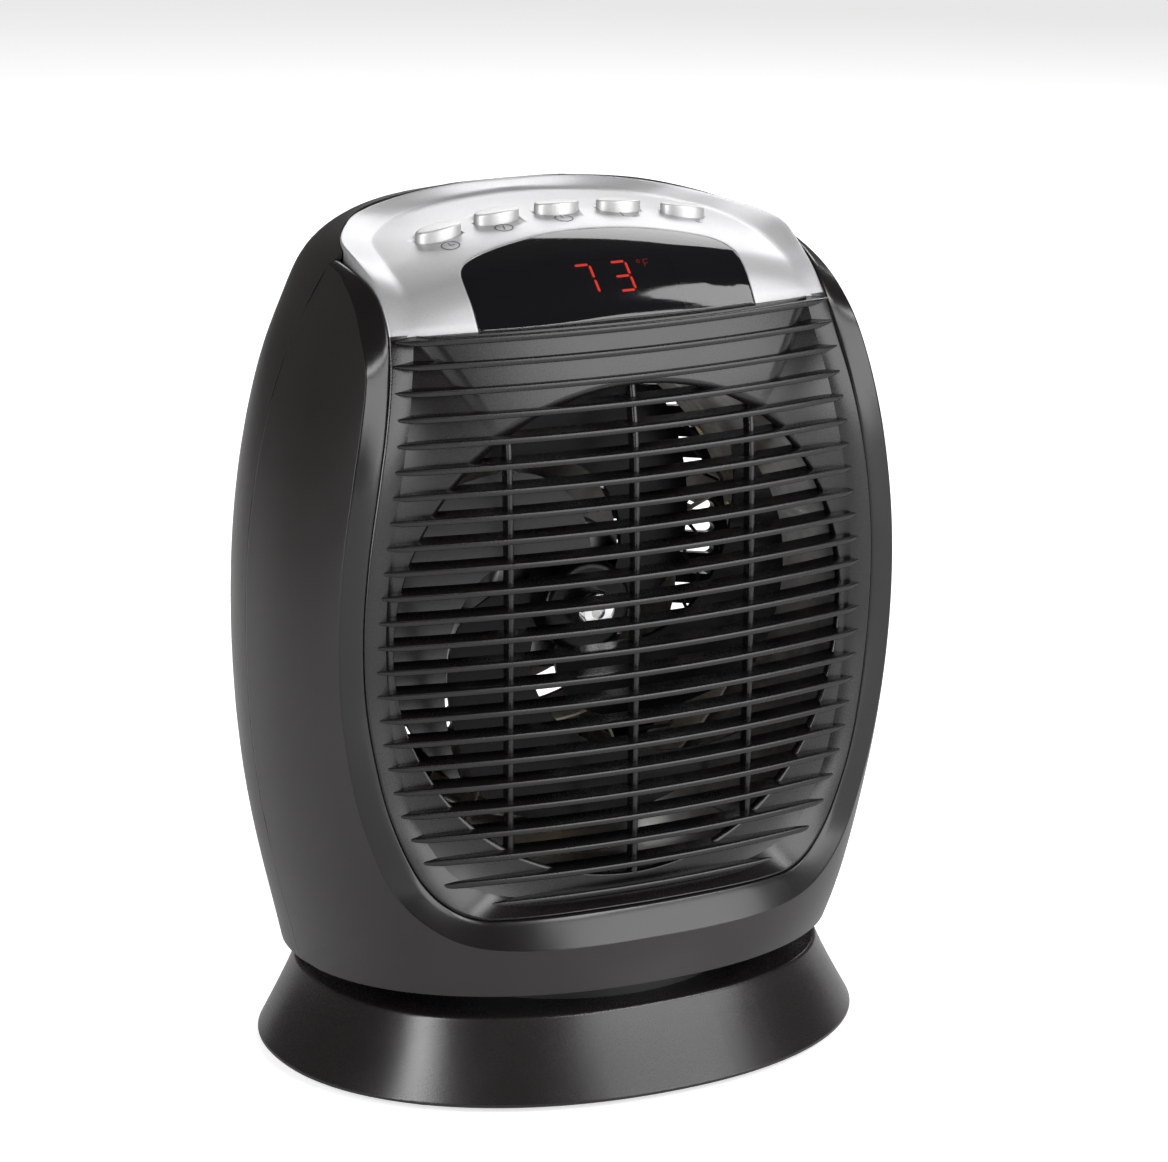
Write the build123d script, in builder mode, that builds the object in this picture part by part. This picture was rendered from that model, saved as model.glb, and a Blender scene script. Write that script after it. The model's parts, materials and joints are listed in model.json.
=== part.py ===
from build123d import *
import os
from math import atan2, cos, degrees, dist, hypot, pi, radians, sin, sqrt

os.makedirs("parts", exist_ok=True)

# Driving dimensions, in millimetres
# Frame: origin at the bottom centre of the base, front towards -Y, up is +Z

# Clearances and walls
wall = 2.4              # moulded shell wall
seat_gap = 0.25         # gap where one fixed piece drops into another
run_gap = 0.3           # gap between faces that move past each other
floor_gap = 0.7         # gap round the body floor inside the housings
shaft_gap = 0.05        # radial running fit of shafts and pins

# Base
foot_height = 1.5       # the feet stand this far below the skirt
base_top = 28.2
base_foot_half = (103.4, 84.2)      # half width and half depth at the skirt's foot
base_rim_half = (88.8, 69.8)        # half width and half depth at the top rim
base_foot_power = 2.11
base_rim_power = 2.32
base_flare = 1.12       # how concave the skirt is, 1 is straight
base_plate_thick = 2.5
foot_radius = 8.0
foot_at = (70.0, 48.0)
collar_radius = 60.0    # dark ring in the neck between base and body
collar_wall = 4.0

# Body: half width at the parting line, with the depth in front of it and behind it
body_bottom = 35.9
body_top = 281.0
front_stations = (
    # height, half width, front reach, power
    (35.9, 94.0, 72.0, 2.16),
    (45.0, 96.2, 71.6, 2.34),
    (56.0, 99.0, 72.0, 2.46),
    (75.0, 103.5, 74.3, 2.5),
    (100.0, 107.9, 79.0, 2.5),
    (125.0, 110.3, 83.6, 2.5),
    (150.0, 111.0, 87.0, 2.5),
    (175.0, 110.0, 88.4, 2.5),
    (200.0, 106.7, 88.3, 2.5),
    (220.0, 102.0, 87.9, 2.5),
    (238.0, 95.7, 87.6, 2.5),
    (252.0, 88.9, 87.3, 2.5),
    (264.0, 81.6, 87.0, 2.5),
    (275.0, 74.2, 86.5, 2.5),
    (285.0, 66.8, 86.0, 2.5),
)
rear_stations = (
    # height, half width, rear reach, power
    (35.9, 94.0, 75.0, 2.16),
    (45.0, 96.2, 76.3, 2.13),
    (56.0, 99.0, 77.6, 2.1),
    (75.0, 103.5, 79.4, 2.06),
    (100.0, 107.9, 80.8, 2.03),
    (125.0, 110.3, 81.7, 2.01),
    (150.0, 111.0, 82.0, 2.0),
    (175.0, 110.0, 81.8, 2.0),
    (200.0, 106.7, 80.7, 2.03),
    (220.0, 102.0, 79.1, 2.08),
    (238.0, 95.7, 76.7, 2.15),
    (252.0, 88.9, 73.6, 2.23),
    (264.0, 81.6, 69.5, 2.35),
    (271.0, 73.6, 63.0, 2.5),
    (276.0, 62.0, 54.5, 2.9),
    (279.5, 46.0, 45.0, 3.3),
    (281.0, 30.0, 39.8, 4.5),
)
# Front face: height, depth at the sides, how far the centre bows forward of them
front_levels = (
    (30.0, -49.0, 23.6),
    (51.2, -48.6, 22.8),
    (61.5, -49.3, 20.6),
    (70.0, -49.6, 12.0),
    (80.0, -49.5, 8.0),
    (102.0, -48.4, 8.0),
    (126.0, -48.1, 7.0),
    (150.0, -48.4, 6.5),
    (174.0, -49.2, 8.0),
    (198.0, -48.9, 9.5),
    (216.0, -47.6, 10.0),
    (230.0, -44.8, 10.5),
    (238.0, -42.2, 10.5),
    (246.0, -38.2, 10.0),
    (254.0, -32.6, 10.0),
    (260.0, -23.5, 8.0),
    (263.5, -12.0, 5.0),
    (265.3, 0.0, 2.0),
    (265.8, 6.0, 0.5),
)
bow_half = 100.0        # half width over which the front face bows
crown_radius = 280.0    # crown of the top, seen from the front
crown_datum = 85.0      # half width where the front levels are measured
crown_axis_z = 2.0      # the crown turns about this height
crown_starts = (174.0, 230.0)

# Window in the front housing and edge of the bowed plate, up one side, joined by tangent arcs
window_outline = ((50.0, 60.9), (73.0, 73.3), (82.7, 94.0), (91.5, 153.0), (77.6, 250.0))
plate_outline = ((40.0, 64.8), (62.0, 75.0), (77.1, 102.0), (83.8, 155.0), (70.0, 250.0))
border_profile = ((56.0, -61.0), (62.0, -58.6), (70.0, -54.6), (78.0, -52.2), (90.0, -50.4),
                  (110.0, -49.2), (150.0, -48.6), (198.0, -49.8), (214.0, -49.0), (230.0, -46.4),
                  (246.0, -41.2), (250.0, -39.2))
grille_wall = 2.5

# Louvres
louvre_count = 23
louvre_pitch = 8.0
louvre_top_z = 242.0
louvre_height = 2.0
louvre_depth = 7.5
louvre_tilt = 5.4
louvre_arc = 306.0      # plan radius of the bowed louvres
louvre_proud = 4.0      # how far the louvres stand in front of the plate
louvre_tip_gap = 2.8
louvre_front_y = -62.4  # centre of the louvre fronts, up to the height where they lean back
louvre_lean_z = 212.0
louvre_lean = 0.24
louvre_reach = 96.0
rib_at = (-43.2, 0.0, 43.2)
rib_width = 2.0
rib_depth = 4.0

# Fan axis and what sits on it
fan_z = 149.7
opening_radius = 80.8
duct_radius = 83.0
duct_wall = 1.8
duct_back = 28.0
blade_count = 4
blade_radius = 74.0
hub_radius = 16.0
hub_front = -24.0
hub_back = -8.0
nose_radius = 7.0
nose_front = -31.0
shaft_radius = 2.5
motor_radius = 26.0
motor_front = -3.0
motor_back = 37.0
motor_screw_ring = 14.0
blade_tilt = 12.0
blade_thick = 1.6
blade_edges = (
    # radius, angle of the middle of the gap between two blades, half of that gap in degrees
    (14.5, -44.0, 20.0),
    (26.0, -26.0, 14.0),
    (38.0, -6.0, 10.0),
    (56.0, 30.0, 8.5),
    (74.0, 58.0, 8.0),
)
bracket_thick = 2.0
bracket_arm = 9.0
bracket_disc = 42.0

# Heating element: a mica drum behind the fan, with its wire laced round it
element_front = 2.0
element_back = 24.0
element_outer = 78.7
element_inner = 46.0
mica_thick = 0.8
mica_spokes = 8
wire_radius = 0.6
wire_loops = 24
wire_rings = (72.0, 58.0)   # ring radius of the outer and the inner wire
wire_bend = 1.9
wire_gap_degrees = 24.0     # part of each ring left free for the terminals
wire_front = 5.0
wire_back = 20.5
spoke_slot = 2.0            # slots in the spokes that the wires run through
terminal_thick = 1.2
bridge_degrees = 54.0
eyelet_count = 16
eyelet_radius = 1.1
eyelet_y = 20.0

# Control panel
panel_bottom_z = 249.8
panel_wall = 2.5
panel_outline = ((76.9, -14.0), (73.6, 5.2), (66.8, 18.4), (56.9, 29.4), (31.3, 36.2), (0.0, 38.0))
field_outline = ((69.0, -36.0), (67.1, -22.7), (65.8, -5.2), (62.4, 6.6), (55.5, 16.7),
                 (43.0, 27.0), (26.0, 33.4), (0.0, 35.6))
rim_profile = ((-50.0, 240.0), (-46.5, 249.0), (-43.6, 255.5), (-39.8, 261.4), (-37.1, 265.3),
               (-33.5, 269.2), (-28.4, 273.0), (-22.2, 276.8), (-14.3, 280.2), (-5.0, 281.6),
               (10.0, 282.0), (44.0, 282.0))
field_profile = ((-51.0, 240.0), (-49.6, 246.0), (-48.0, 249.8), (-45.4, 253.8), (-40.3, 261.5),
                 (-36.5, 265.5), (-31.0, 269.4), (-18.0, 273.8), (-6.6, 275.9), (5.2, 277.1),
                 (15.7, 277.6), (44.0, 277.6))
window_corner = (49.2, -33.0)
window_shoulder = (43.5, -25.2)
window_crest = -18.5

# Push buttons
button_at_x = (-44.0, -22.0, 0.0, 22.0, 44.0)
button_names = ("timer_button", "swing_button", "power_button", "cooler_button", "warmer_button")
button_length = 15.6
button_width = 9.0
button_rise = 3.8
button_travel = 1.2
button_flange = 1.2
button_arc = 0.002      # the row of buttons curves forward towards its ends
button_y = -0.5         # depth of the middle button
button_skirt = 7.0      # depth of a button below the field
board_z = 258.0
board_thick = 1.6
switch_height = 4.0

# Display
display_size = (50.0, 19.0, 8.0)
display_at = (0.0, -39.9, 261.6)
display_tilt = 49.6
display_set = 5.6       # depth of the module's face under the window's surface
digit_height = 10.5
digit_width = 7.4
digit_stroke = 0.9
digit_at = (-5.0, 7.6)
digit_up = 2.3
digit_thick = 0.3

# Swivel
post_radius = 12.0
post_bore = 9.0
sleeve_wall = 3.0
sleeve_height = 9.0
floor_thick = 2.6
ring_thick = 2.0
ring_radius = 19.0
crank_at = (0.0, 40.0)
crank_radius = 14.0
crank_pin_at = (8.5, 33.0)
crank_pin_radius = 2.0
link_pin_at = (-18.2, 8.3)
link_pin_radius = 1.8
link_width = 7.0
link_thick = 2.0
swing_motor_radius = 17.0
swing_motor_height = 16.0

# Boards and screws inside the body
power_board_at = (0.0, -42.0)
power_board_size = (80.0, 32.0)
board_post = 6.0
floor_screw_at = ((-86.0, -14.0), (86.0, -14.0), (-83.0, 24.0), (83.0, 24.0))
floor_screw_head = 3.0
boss_radius = 6.5

# Tip-over switch
plunger_at = (0.0, -58.0)
plunger_radius = 4.0
plunger_length = 14.0


# Shape helpers

def superellipse(angle, half_x, half_y, power):
    """Point of a superellipse at a parameter angle in radians."""
    c, s = cos(angle), sin(angle)
    x = half_x * abs(c) ** (2 / power) * (1 if c >= 0 else -1)
    y = half_y * abs(s) ** (2 / power) * (1 if s >= 0 else -1)
    return (x, y)


def full_plan(z, half_x, half_y, power):
    """Closed superellipse face at a height."""
    steps = 32
    with BuildSketch(Plane.XY.offset(z)) as plan:
        with BuildLine():
            Spline(*[superellipse(2 * pi * i / steps, half_x, half_y, power) for i in range(steps)],
                   periodic=True)
        make_face()
    return plan.sketch


def station(table, z):
    """Straight-line reading of a table of stations at a height."""
    rows = [row for row in table]
    for low, high in zip(rows, rows[1:]):
        if z <= high[0]:
            t = (z - low[0]) / (high[0] - low[0])
            return tuple(a + t * (b - a) for a, b in zip(low[1:], high[1:]))
    return rows[-1][1:]


def base_half(z, inset=0.0):
    """Half width, half depth and power of the base skirt at a height."""
    t = max(base_top - z, 0.0) / (base_top - foot_height)
    flare = t ** base_flare
    half_x = base_rim_half[0] + (base_foot_half[0] - base_rim_half[0]) * flare
    half_y = base_rim_half[1] + (base_foot_half[1] - base_rim_half[1]) * flare
    power = base_rim_power + (base_foot_power - base_rim_power) * t
    return (half_x - inset, half_y - inset, power)


def base_form(low, high, inset):
    """Solid between two heights inside the base skirt."""
    steps = 4
    heights = [low + (high - low) * i / steps for i in range(steps + 1)]
    return loft([full_plan(z, *base_half(z, inset)) for z in heights], mode=Mode.PRIVATE)


def barrel(table, side, inset, low, high):
    """Half of the body barrel, shrunk by an inset."""
    rows = [(low,) + station(table, low)]
    rows += [row for row in table if low + 1 < row[0] < high - 1]
    rows += [(high,) + station(table, high)]
    with BuildPart(mode=Mode.PRIVATE) as half:
        add(loft([full_plan(z, a - inset, b - inset, n) for z, a, b, n in rows], mode=Mode.PRIVATE))
        with Locations((0, side * 100, (low + high) / 2)):
            Box(300, 200, high - low + 20, mode=Mode.INTERSECT)
    return half.part


def crown_shift(x, level):
    """How much higher a front level lies at x than at the crown datum."""
    low, high = crown_starts
    weight = min(max((level - low) / (high - low), 0.0), 1.0)
    return weight * (crown_datum ** 2 - x ** 2) / (2 * crown_radius)


def bow(x):
    """Share of the bow that the front face keeps at x."""
    return max(1 - (x / bow_half) ** 2, 0.0) ** 1.3


def front_form(push, drop):
    """Everything behind the front face and below the shoulder, moved back and down."""
    sections = []
    for x in (-118.0, -100.0, -90.0, -78.0, -60.0, -32.0, 0.0, 32.0, 60.0, 78.0, 90.0, 100.0, 118.0):
        points = [(y - b * bow(x) + push, z + crown_shift(x, z) - drop) for z, y, b in front_levels]
        back = points[-1][0]
        with BuildSketch(Plane.YZ.offset(x)) as section:
            with BuildLine():
                Spline(*points)
                Polyline(points[-1], (back, points[0][1]), points[0])
            make_face()
        sections.append(section.sketch)
    return loft(sections, mode=Mode.PRIVATE)


def side_outline(points, inset=0.0):
    """Closed face on XZ from one side's outline, mirrored, and moved inwards by an inset."""
    with BuildSketch(Plane.XZ) as face:
        for side in (1, -1):
            with BuildLine():
                edge = Line((0.0, points[0][1]), (side * points[0][0], points[0][1]))
                for x, z in points[1:]:
                    edge = TangentArc(edge @ 1, (side * x, z), tangent=edge % 1)
                Polyline((side * points[-1][0], points[-1][1]), (0.0, points[-1][1]), (0.0, points[0][1]))
            make_face()
        if inset:
            offset(amount=-inset, mode=Mode.REPLACE)
    return face.sketch


def outline_prism(points, y_front, y_back, inset=0.0):
    """Outline on XZ carried from one depth to another."""
    with BuildPart() as prism:
        with BuildSketch(Plane.XZ.offset(-y_back)):
            add(side_outline(points, inset).face())
        extrude(amount=y_back - y_front)
    return prism.part


def louvre_y(z):
    """Depth of the louvre fronts on the centre line at a height."""
    return louvre_front_y + max(z - louvre_lean_z, 0.0) * louvre_lean


def arc_band(plane, y_front, thick):
    """Bowed strip in plan: an arc in front, the same arc behind it."""
    set_back = louvre_arc - sqrt(louvre_arc ** 2 - louvre_reach ** 2)
    front = [(-louvre_reach, y_front + set_back), (0.0, y_front), (louvre_reach, y_front + set_back)]
    back = [(x, y + thick) for x, y in front]
    with BuildSketch(plane) as plan:
        with BuildLine():
            ThreePointArc(*front)
            Line(front[2], back[2])
            ThreePointArc(*reversed(back))
            Line(back[0], front[0])
        make_face()
    return plan.sketch


def plate_band(shift, thick, low=54.0, high=256.0):
    """Bowed slab along the plate behind the louvres, upright below and leaning back above."""
    front = louvre_front_y + louvre_proud + shift
    rise = high - louvre_lean_z
    with BuildPart() as slab:
        with BuildSketch(Plane.XY.offset(low)):
            add(arc_band(Plane.XY, front, thick))
        extrude(amount=louvre_lean_z - low)
        with BuildSketch(Plane.XY.offset(louvre_lean_z)):
            add(arc_band(Plane.XY, front, thick))
        extrude(amount=rise * hypot(1.0, louvre_lean), dir=(0, louvre_lean, 1))
    return slab.part


def crown_solid(profile, drop=0.0, push=0.0):
    """Solid under a front-to-back profile that is turned about the crown's axis."""
    points = [(y + push, z - drop) for y, z in profile]
    with BuildPart() as solid:
        with BuildSketch(Plane.YZ):
            with BuildLine():
                Spline(*points)
                Polyline(points[-1], (points[-1][0], crown_axis_z), (points[0][0], crown_axis_z), points[0])
            make_face()
        revolve(axis=Axis((0, 0, crown_axis_z), (0, 1, 0)), revolution_arc=360)
    return solid.part


def grown(points, gap):
    """Outline from a side to the rear centre, moved outwards by a gap."""
    before = [points[0]] + list(points[:-1])
    after = list(points[1:]) + [(-points[-2][0], points[-2][1])]
    moved = []
    for (x, y), (x0, y0), (x1, y1) in zip(points, before, after):
        length = dist((x0, y0), (x1, y1))
        moved.append((x + gap * (y1 - y0) / length, y - gap * (x1 - x0) / length))
    return moved


def plan_prism(points, y_front, low, high):
    """Outline on XY, open to the front, carried from one height to another."""
    right = list(points)
    left = [(-x, y) for x, y in reversed(right[:-1])]
    start, end = right[0], left[-1]
    with BuildPart() as prism:
        with BuildSketch(Plane.XY.offset(low)):
            with BuildLine():
                Spline(*(right + left))
                Polyline(end, (end[0], y_front), (start[0], y_front), start)
            make_face()
        extrude(amount=high - low)
    return prism.part


def profile_height(profile, x, y):
    """Height of a crowned profile above a plan point."""
    z = station(tuple(profile), y)[0]
    return crown_axis_z + sqrt((z - crown_axis_z) ** 2 - x ** 2)


def display_plane(depth):
    """Plane parallel to the display's face, a depth behind the panel's surface."""
    tilt = radians(display_tilt)
    normal = (0.0, -sin(tilt), cos(tilt))
    x, y, z = display_at
    return Plane(origin=(x, y - normal[1] * depth, z - normal[2] * depth), x_dir=(1, 0, 0), z_dir=normal)


def save(piece, name):
    """Label a finished piece and write its STEP file."""
    piece.part.label = name
    export_step(piece.part, f"parts/{name}.step")


# Base shell, with the deck that carries the body

deck_thick = 2.6
deck_under = base_top - deck_thick
post_hole = post_radius + shaft_gap
plate_top = foot_height + base_plate_thick
boss_at = [(sx * 62.0, sy * 40.0) for sx in (-1, 1) for sy in (-1, 1)]
gland_z = 12.0
gland_radius = 6.0

with BuildPart() as base_shell:
    add(base_form(foot_height, base_top, 0.0))
    fillet(base_shell.edges().group_by(Axis.Z)[-1], 1.6)
    fillet(base_shell.edges().group_by(Axis.Z)[0], 1.0)
    add(base_form(foot_height - 1, deck_under, wall), mode=Mode.SUBTRACT)
    with Locations((0, 0, deck_under)):
        Cylinder(post_hole, deck_thick, align=(Align.CENTER, Align.CENTER, Align.MIN), mode=Mode.SUBTRACT)
    with BuildSketch(Plane.XY.offset(plate_top)):
        with Locations(*boss_at):
            Circle(4.5)
    extrude(amount=deck_under - plate_top)
    with BuildSketch(Plane.XY.offset(plate_top)):
        with Locations(*boss_at):
            Circle(1.3)
    extrude(amount=12, mode=Mode.SUBTRACT)
    with BuildSketch(Plane.XZ.offset(-90)):
        with Locations((0, gland_z)):
            Circle(gland_radius + shaft_gap)
    extrude(amount=25, mode=Mode.SUBTRACT)
    with BuildSketch(Plane.XY.offset(base_top - 1)):
        with Locations(link_pin_at):
            Circle(5.0)
    extrude(amount=1 + 0.8)
    with BuildSketch(Plane.XY.offset(base_top - 4)):
        with Locations(link_pin_at):
            Circle(link_pin_radius)
    extrude(amount=6, mode=Mode.SUBTRACT)
save(base_shell, "base_shell")

# Base plate, closing the base from below

with BuildPart() as base_plate:
    add(base_form(foot_height, plate_top, wall + seat_gap))
    with BuildSketch(Plane.XY.offset(foot_height)):
        with GridLocations(2 * foot_at[0], 2 * foot_at[1], 2, 2):
            Circle(foot_radius + 0.1)
    extrude(amount=1.0, mode=Mode.SUBTRACT)
    with BuildSketch(Plane.XY.offset(foot_height)):
        with Locations(*boss_at):
            Circle(1.8)
        with Locations(plunger_at):
            Circle(plunger_radius + run_gap)
        with GridLocations(0, 9, 1, 5):
            with Locations((40, 0)):
                SlotOverall(24, 3)
    extrude(amount=base_plate_thick, mode=Mode.SUBTRACT)
save(base_plate, "base_plate")

with BuildPart() as rubber_feet:
    with BuildSketch():
        with GridLocations(2 * foot_at[0], 2 * foot_at[1], 2, 2):
            Circle(foot_radius)
    extrude(amount=foot_height + 1.0)
    fillet(rubber_feet.edges().group_by(Axis.Z)[0], 0.5)
save(rubber_feet, "rubber_feet")

with BuildPart() as base_screws:
    with BuildSketch(Plane.XY.offset(foot_height - 0.9)):
        with Locations(*boss_at):
            Circle(2.9)
    extrude(amount=0.9)
    with BuildSketch(Plane.XY.offset(foot_height)):
        with Locations(*boss_at):
            Circle(1.25)
    extrude(amount=base_plate_thick + 9)
save(base_screws, "base_screws")

# Cord inlet gland at the back of the base

with BuildPart() as cord_gland:
    with BuildSketch(Plane.XZ.offset(-83.4)):
        with Locations((0, gland_z)):
            Circle(gland_radius)
            Circle(3.6, mode=Mode.SUBTRACT)
    extrude(amount=19)
    with BuildSketch(Plane.XZ.offset(-69)):
        with Locations((0, gland_z)):
            Circle(gland_radius + 2)
            Circle(3.6, mode=Mode.SUBTRACT)
    extrude(amount=1.6)
save(cord_gland, "cord_gland")

# Swivel: post, collar and retaining ring on the base

floor_under = body_bottom + 0.6
floor_top = floor_under + floor_thick
sleeve_top = floor_under + sleeve_height
ring_low = sleeve_top + run_gap
post_top = ring_low + ring_thick + 1.5

with BuildPart() as swivel_post:
    with BuildSketch(Plane.XY.offset(deck_under - 3)):
        Circle(post_radius + 8)
    extrude(amount=3)
    with BuildSketch(Plane.XY.offset(deck_under)):
        Circle(post_radius)
    extrude(amount=post_top - deck_under)
    with BuildSketch(Plane.XY.offset(deck_under - 3)):
        Circle(post_bore)
    extrude(amount=post_top - deck_under + 3, mode=Mode.SUBTRACT)
    with BuildSketch(Plane.XY.offset(ring_low)):
        Circle(post_radius)
        Circle(post_radius - 1, mode=Mode.SUBTRACT)
    extrude(amount=ring_thick, mode=Mode.SUBTRACT)
save(swivel_post, "swivel_post")

with BuildPart() as retaining_ring:
    with BuildSketch(Plane.XY.offset(ring_low)):
        Circle(ring_radius)
        Circle(post_radius - 1, mode=Mode.SUBTRACT)
        with Locations((0, post_radius)):
            Rectangle(6, 20, mode=Mode.SUBTRACT)
    extrude(amount=ring_thick)
save(retaining_ring, "retaining_ring")

with BuildPart() as bearing_collar:
    with BuildSketch(Plane.XY.offset(base_top)):
        Circle(collar_radius)
        Circle(collar_radius - collar_wall, mode=Mode.SUBTRACT)
    extrude(amount=floor_under - run_gap - base_top)
    fillet(bearing_collar.edges().group_by(Axis.Z)[-1], 0.8)
save(bearing_collar, "bearing_collar")

# Oscillation drive: link on the base, crank and motor on the body

link_low = base_top + 0.8 + run_gap
link_top = link_low + link_thick
crank_pin_low = link_top + run_gap
crank_low = crank_pin_low + 1.5
crank_top = floor_under - run_gap
link_span = dist(link_pin_at, crank_pin_at)
link_turn = degrees(atan2(crank_pin_at[1] - link_pin_at[1], crank_pin_at[0] - link_pin_at[0]))

with BuildPart() as link_pin:
    with BuildSketch(Plane.XY.offset(deck_under)):
        with Locations(link_pin_at):
            Circle(link_pin_radius)
    extrude(amount=link_top + run_gap - deck_under)
    with BuildSketch(Plane.XY.offset(link_top + run_gap)):
        with Locations(link_pin_at):
            Circle(3.4)
    extrude(amount=1.0)
save(link_pin, "link_pin")

with BuildPart() as drive_link:
    with BuildSketch(Plane.XY.offset(link_low)):
        with Locations(((link_pin_at[0] + crank_pin_at[0]) / 2, (link_pin_at[1] + crank_pin_at[1]) / 2)):
            SlotCenterToCenter(link_span, link_width, rotation=link_turn)
        with Locations(link_pin_at):
            Circle(link_pin_radius + shaft_gap, mode=Mode.SUBTRACT)
        with Locations(crank_pin_at):
            Circle(crank_pin_radius + shaft_gap, mode=Mode.SUBTRACT)
    extrude(amount=link_thick)
save(drive_link, "drive_link")

with BuildPart() as drive_crank:
    with BuildSketch(Plane.XY.offset(crank_low)):
        with Locations(crank_at):
            Circle(crank_radius)
    extrude(amount=crank_top - crank_low)
    with BuildSketch(Plane.XY.offset(crank_pin_low)):
        with Locations(crank_pin_at):
            Circle(crank_pin_radius)
    extrude(amount=crank_low - crank_pin_low)
    with BuildSketch(Plane.XY.offset(crank_top)):
        with Locations(crank_at):
            Circle(3.0)
    extrude(amount=floor_top + run_gap - crank_top + 5)
save(drive_crank, "drive_crank")

with BuildPart() as swing_motor:
    with BuildSketch(Plane.XY.offset(floor_top)):
        with Locations(crank_at):
            Circle(swing_motor_radius)
            Circle(3.0 + shaft_gap, mode=Mode.SUBTRACT)
    extrude(amount=swing_motor_height)
save(swing_motor, "swing_motor")

# Tip-over switch and its plunger

with BuildPart() as tip_switch:
    with BuildSketch(Plane.XY.offset(plate_top)):
        with Locations(plunger_at):
            Rectangle(16, 12)
            Circle(plunger_radius + run_gap, mode=Mode.SUBTRACT)
    extrude(amount=plunger_length + 1)
    with BuildSketch(Plane.XY.offset(plate_top + plunger_length + 1)):
        with Locations(plunger_at):
            Rectangle(16, 12)
    extrude(amount=2)
save(tip_switch, "tip_switch")

with BuildPart() as tip_plunger:
    with BuildSketch(Plane.XY.offset(0.3)):
        with Locations(plunger_at):
            Circle(plunger_radius)
    extrude(amount=plunger_length)
    fillet(tip_plunger.edges().group_by(Axis.Z)[0], 1.0)
save(tip_plunger, "tip_plunger")

# Body floor, with the sleeve that turns on the post

with BuildPart() as body_floor:
    add(barrel(front_stations, -1, wall + floor_gap, floor_under, floor_top))
    add(front_form(wall + floor_gap, wall + floor_gap), mode=Mode.INTERSECT)
    add(barrel(rear_stations, 1, wall + floor_gap, floor_under, floor_top))
    with BuildSketch(Plane.XY.offset(floor_top)):
        Circle(post_hole + sleeve_wall)
    extrude(amount=sleeve_top - floor_top)
    with BuildSketch(Plane.XY.offset(floor_under)):
        Circle(post_hole)
        with Locations(crank_at):
            Circle(3.0 + run_gap)
    extrude(amount=sleeve_height, mode=Mode.SUBTRACT)
    with BuildSketch(Plane.XY.offset(floor_top)):
        with Locations(power_board_at):
            with GridLocations(power_board_size[0] - 10, power_board_size[1] - 8, 2, 2):
                Circle(3.0)
    extrude(amount=board_post)
    with BuildSketch(Plane.XY.offset(floor_under)):
        with Locations(*floor_screw_at):
            Circle(floor_screw_head + run_gap)
    extrude(amount=1.3, mode=Mode.SUBTRACT)
    with BuildSketch(Plane.XY.offset(floor_under)):
        with Locations(*floor_screw_at):
            Circle(1.6)
    extrude(amount=floor_thick, mode=Mode.SUBTRACT)
save(body_floor, "body_floor")


def boss_posts(side, radius, height):
    """Round posts above the body floor at the screws of one housing."""
    with BuildPart() as posts:
        with BuildSketch(Plane.XY.offset(floor_top)):
            with Locations(*[place for place in floor_screw_at if place[1] * side > 0]):
                Circle(radius)
        extrude(amount=height)
    return posts.part


with BuildPart() as floor_screws:
    with BuildSketch(Plane.XY.offset(floor_under)):
        with Locations(*floor_screw_at):
            Circle(floor_screw_head)
    extrude(amount=1.3)
    with BuildSketch(Plane.XY.offset(floor_under)):
        with Locations(*floor_screw_at):
            Circle(1.2)
    extrude(amount=floor_thick + 9)
save(floor_screws, "floor_screws")

# Front housing: side wall, bezel band and chin

panel_pocket = plan_prism(grown(panel_outline, seat_gap), -60.0, panel_bottom_z - 60.0, 300.0)
window_prism = outline_prism(window_outline, -120.0, 20.0)

with BuildPart() as front_housing:
    add(barrel(front_stations, -1, 0.0, body_bottom, 285.0))
    add(front_form(0.0, 0.0), mode=Mode.INTERSECT)
    with BuildPart(mode=Mode.PRIVATE) as front_hollow:
        add(barrel(front_stations, -1, wall, body_bottom - 2, 285.0))
        add(front_form(wall, wall), mode=Mode.INTERSECT)
        add(boss_posts(-1, boss_radius, 14.0), mode=Mode.SUBTRACT)
    add(front_hollow.part, mode=Mode.SUBTRACT)
    add(boss_posts(-1, 1.25, 11.0), mode=Mode.SUBTRACT)
    add(window_prism, mode=Mode.SUBTRACT)
    add(panel_pocket, mode=Mode.SUBTRACT)
save(front_housing, "front_housing")

# Rear housing, with its intake slots

intake_half = (86.0, 76.0)      # half width and half height of the slotted field
intake_power = 2.6
intake_disc = 45.0              # closed disc behind the fan motor
intake_top = 56.0               # the slots end this far above the axis
intake_slot = 4.0
intake_pitch = 7.5
intake_rows = 19
intake_bar_at = (1.5, 61.5)     # upright bars between the slots
intake_bar = 3.0

with BuildPart() as rear_housing:
    add(barrel(rear_stations, 1, 0.0, body_bottom, body_top))
    with BuildPart(mode=Mode.PRIVATE) as rear_hollow:
        add(barrel(rear_stations, 1, wall, body_bottom - 2, body_top - wall))
        add(boss_posts(1, boss_radius, 14.0), mode=Mode.SUBTRACT)
    add(rear_hollow.part, mode=Mode.SUBTRACT)
    add(boss_posts(1, 1.25, 11.0), mode=Mode.SUBTRACT)
    add(panel_pocket, mode=Mode.SUBTRACT)
    with BuildSketch(Plane.XZ.offset(-95)) as intake:
        for row in range(intake_rows):
            rise = (row - (intake_rows - 1) / 2) * intake_pitch
            if rise > intake_top:
                continue
            reach = intake_half[0] * (1 - abs(rise / intake_half[1]) ** intake_power) ** (1 / intake_power)
            start = max(sqrt(max(intake_disc ** 2 - rise ** 2, 0.0)), intake_bar_at[0])
            spans = [(start, intake_bar_at[1] - intake_bar / 2), (intake_bar_at[1] + intake_bar / 2, reach)]
            for inner, outer in spans:
                if min(outer, reach) - inner > 2 * intake_slot:
                    for side in (-1, 1):
                        with Locations((side * (inner + min(outer, reach)) / 2, fan_z + rise)):
                            SlotOverall(min(outer, reach) - inner, intake_slot)
    extrude(amount=55, mode=Mode.SUBTRACT)
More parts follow.
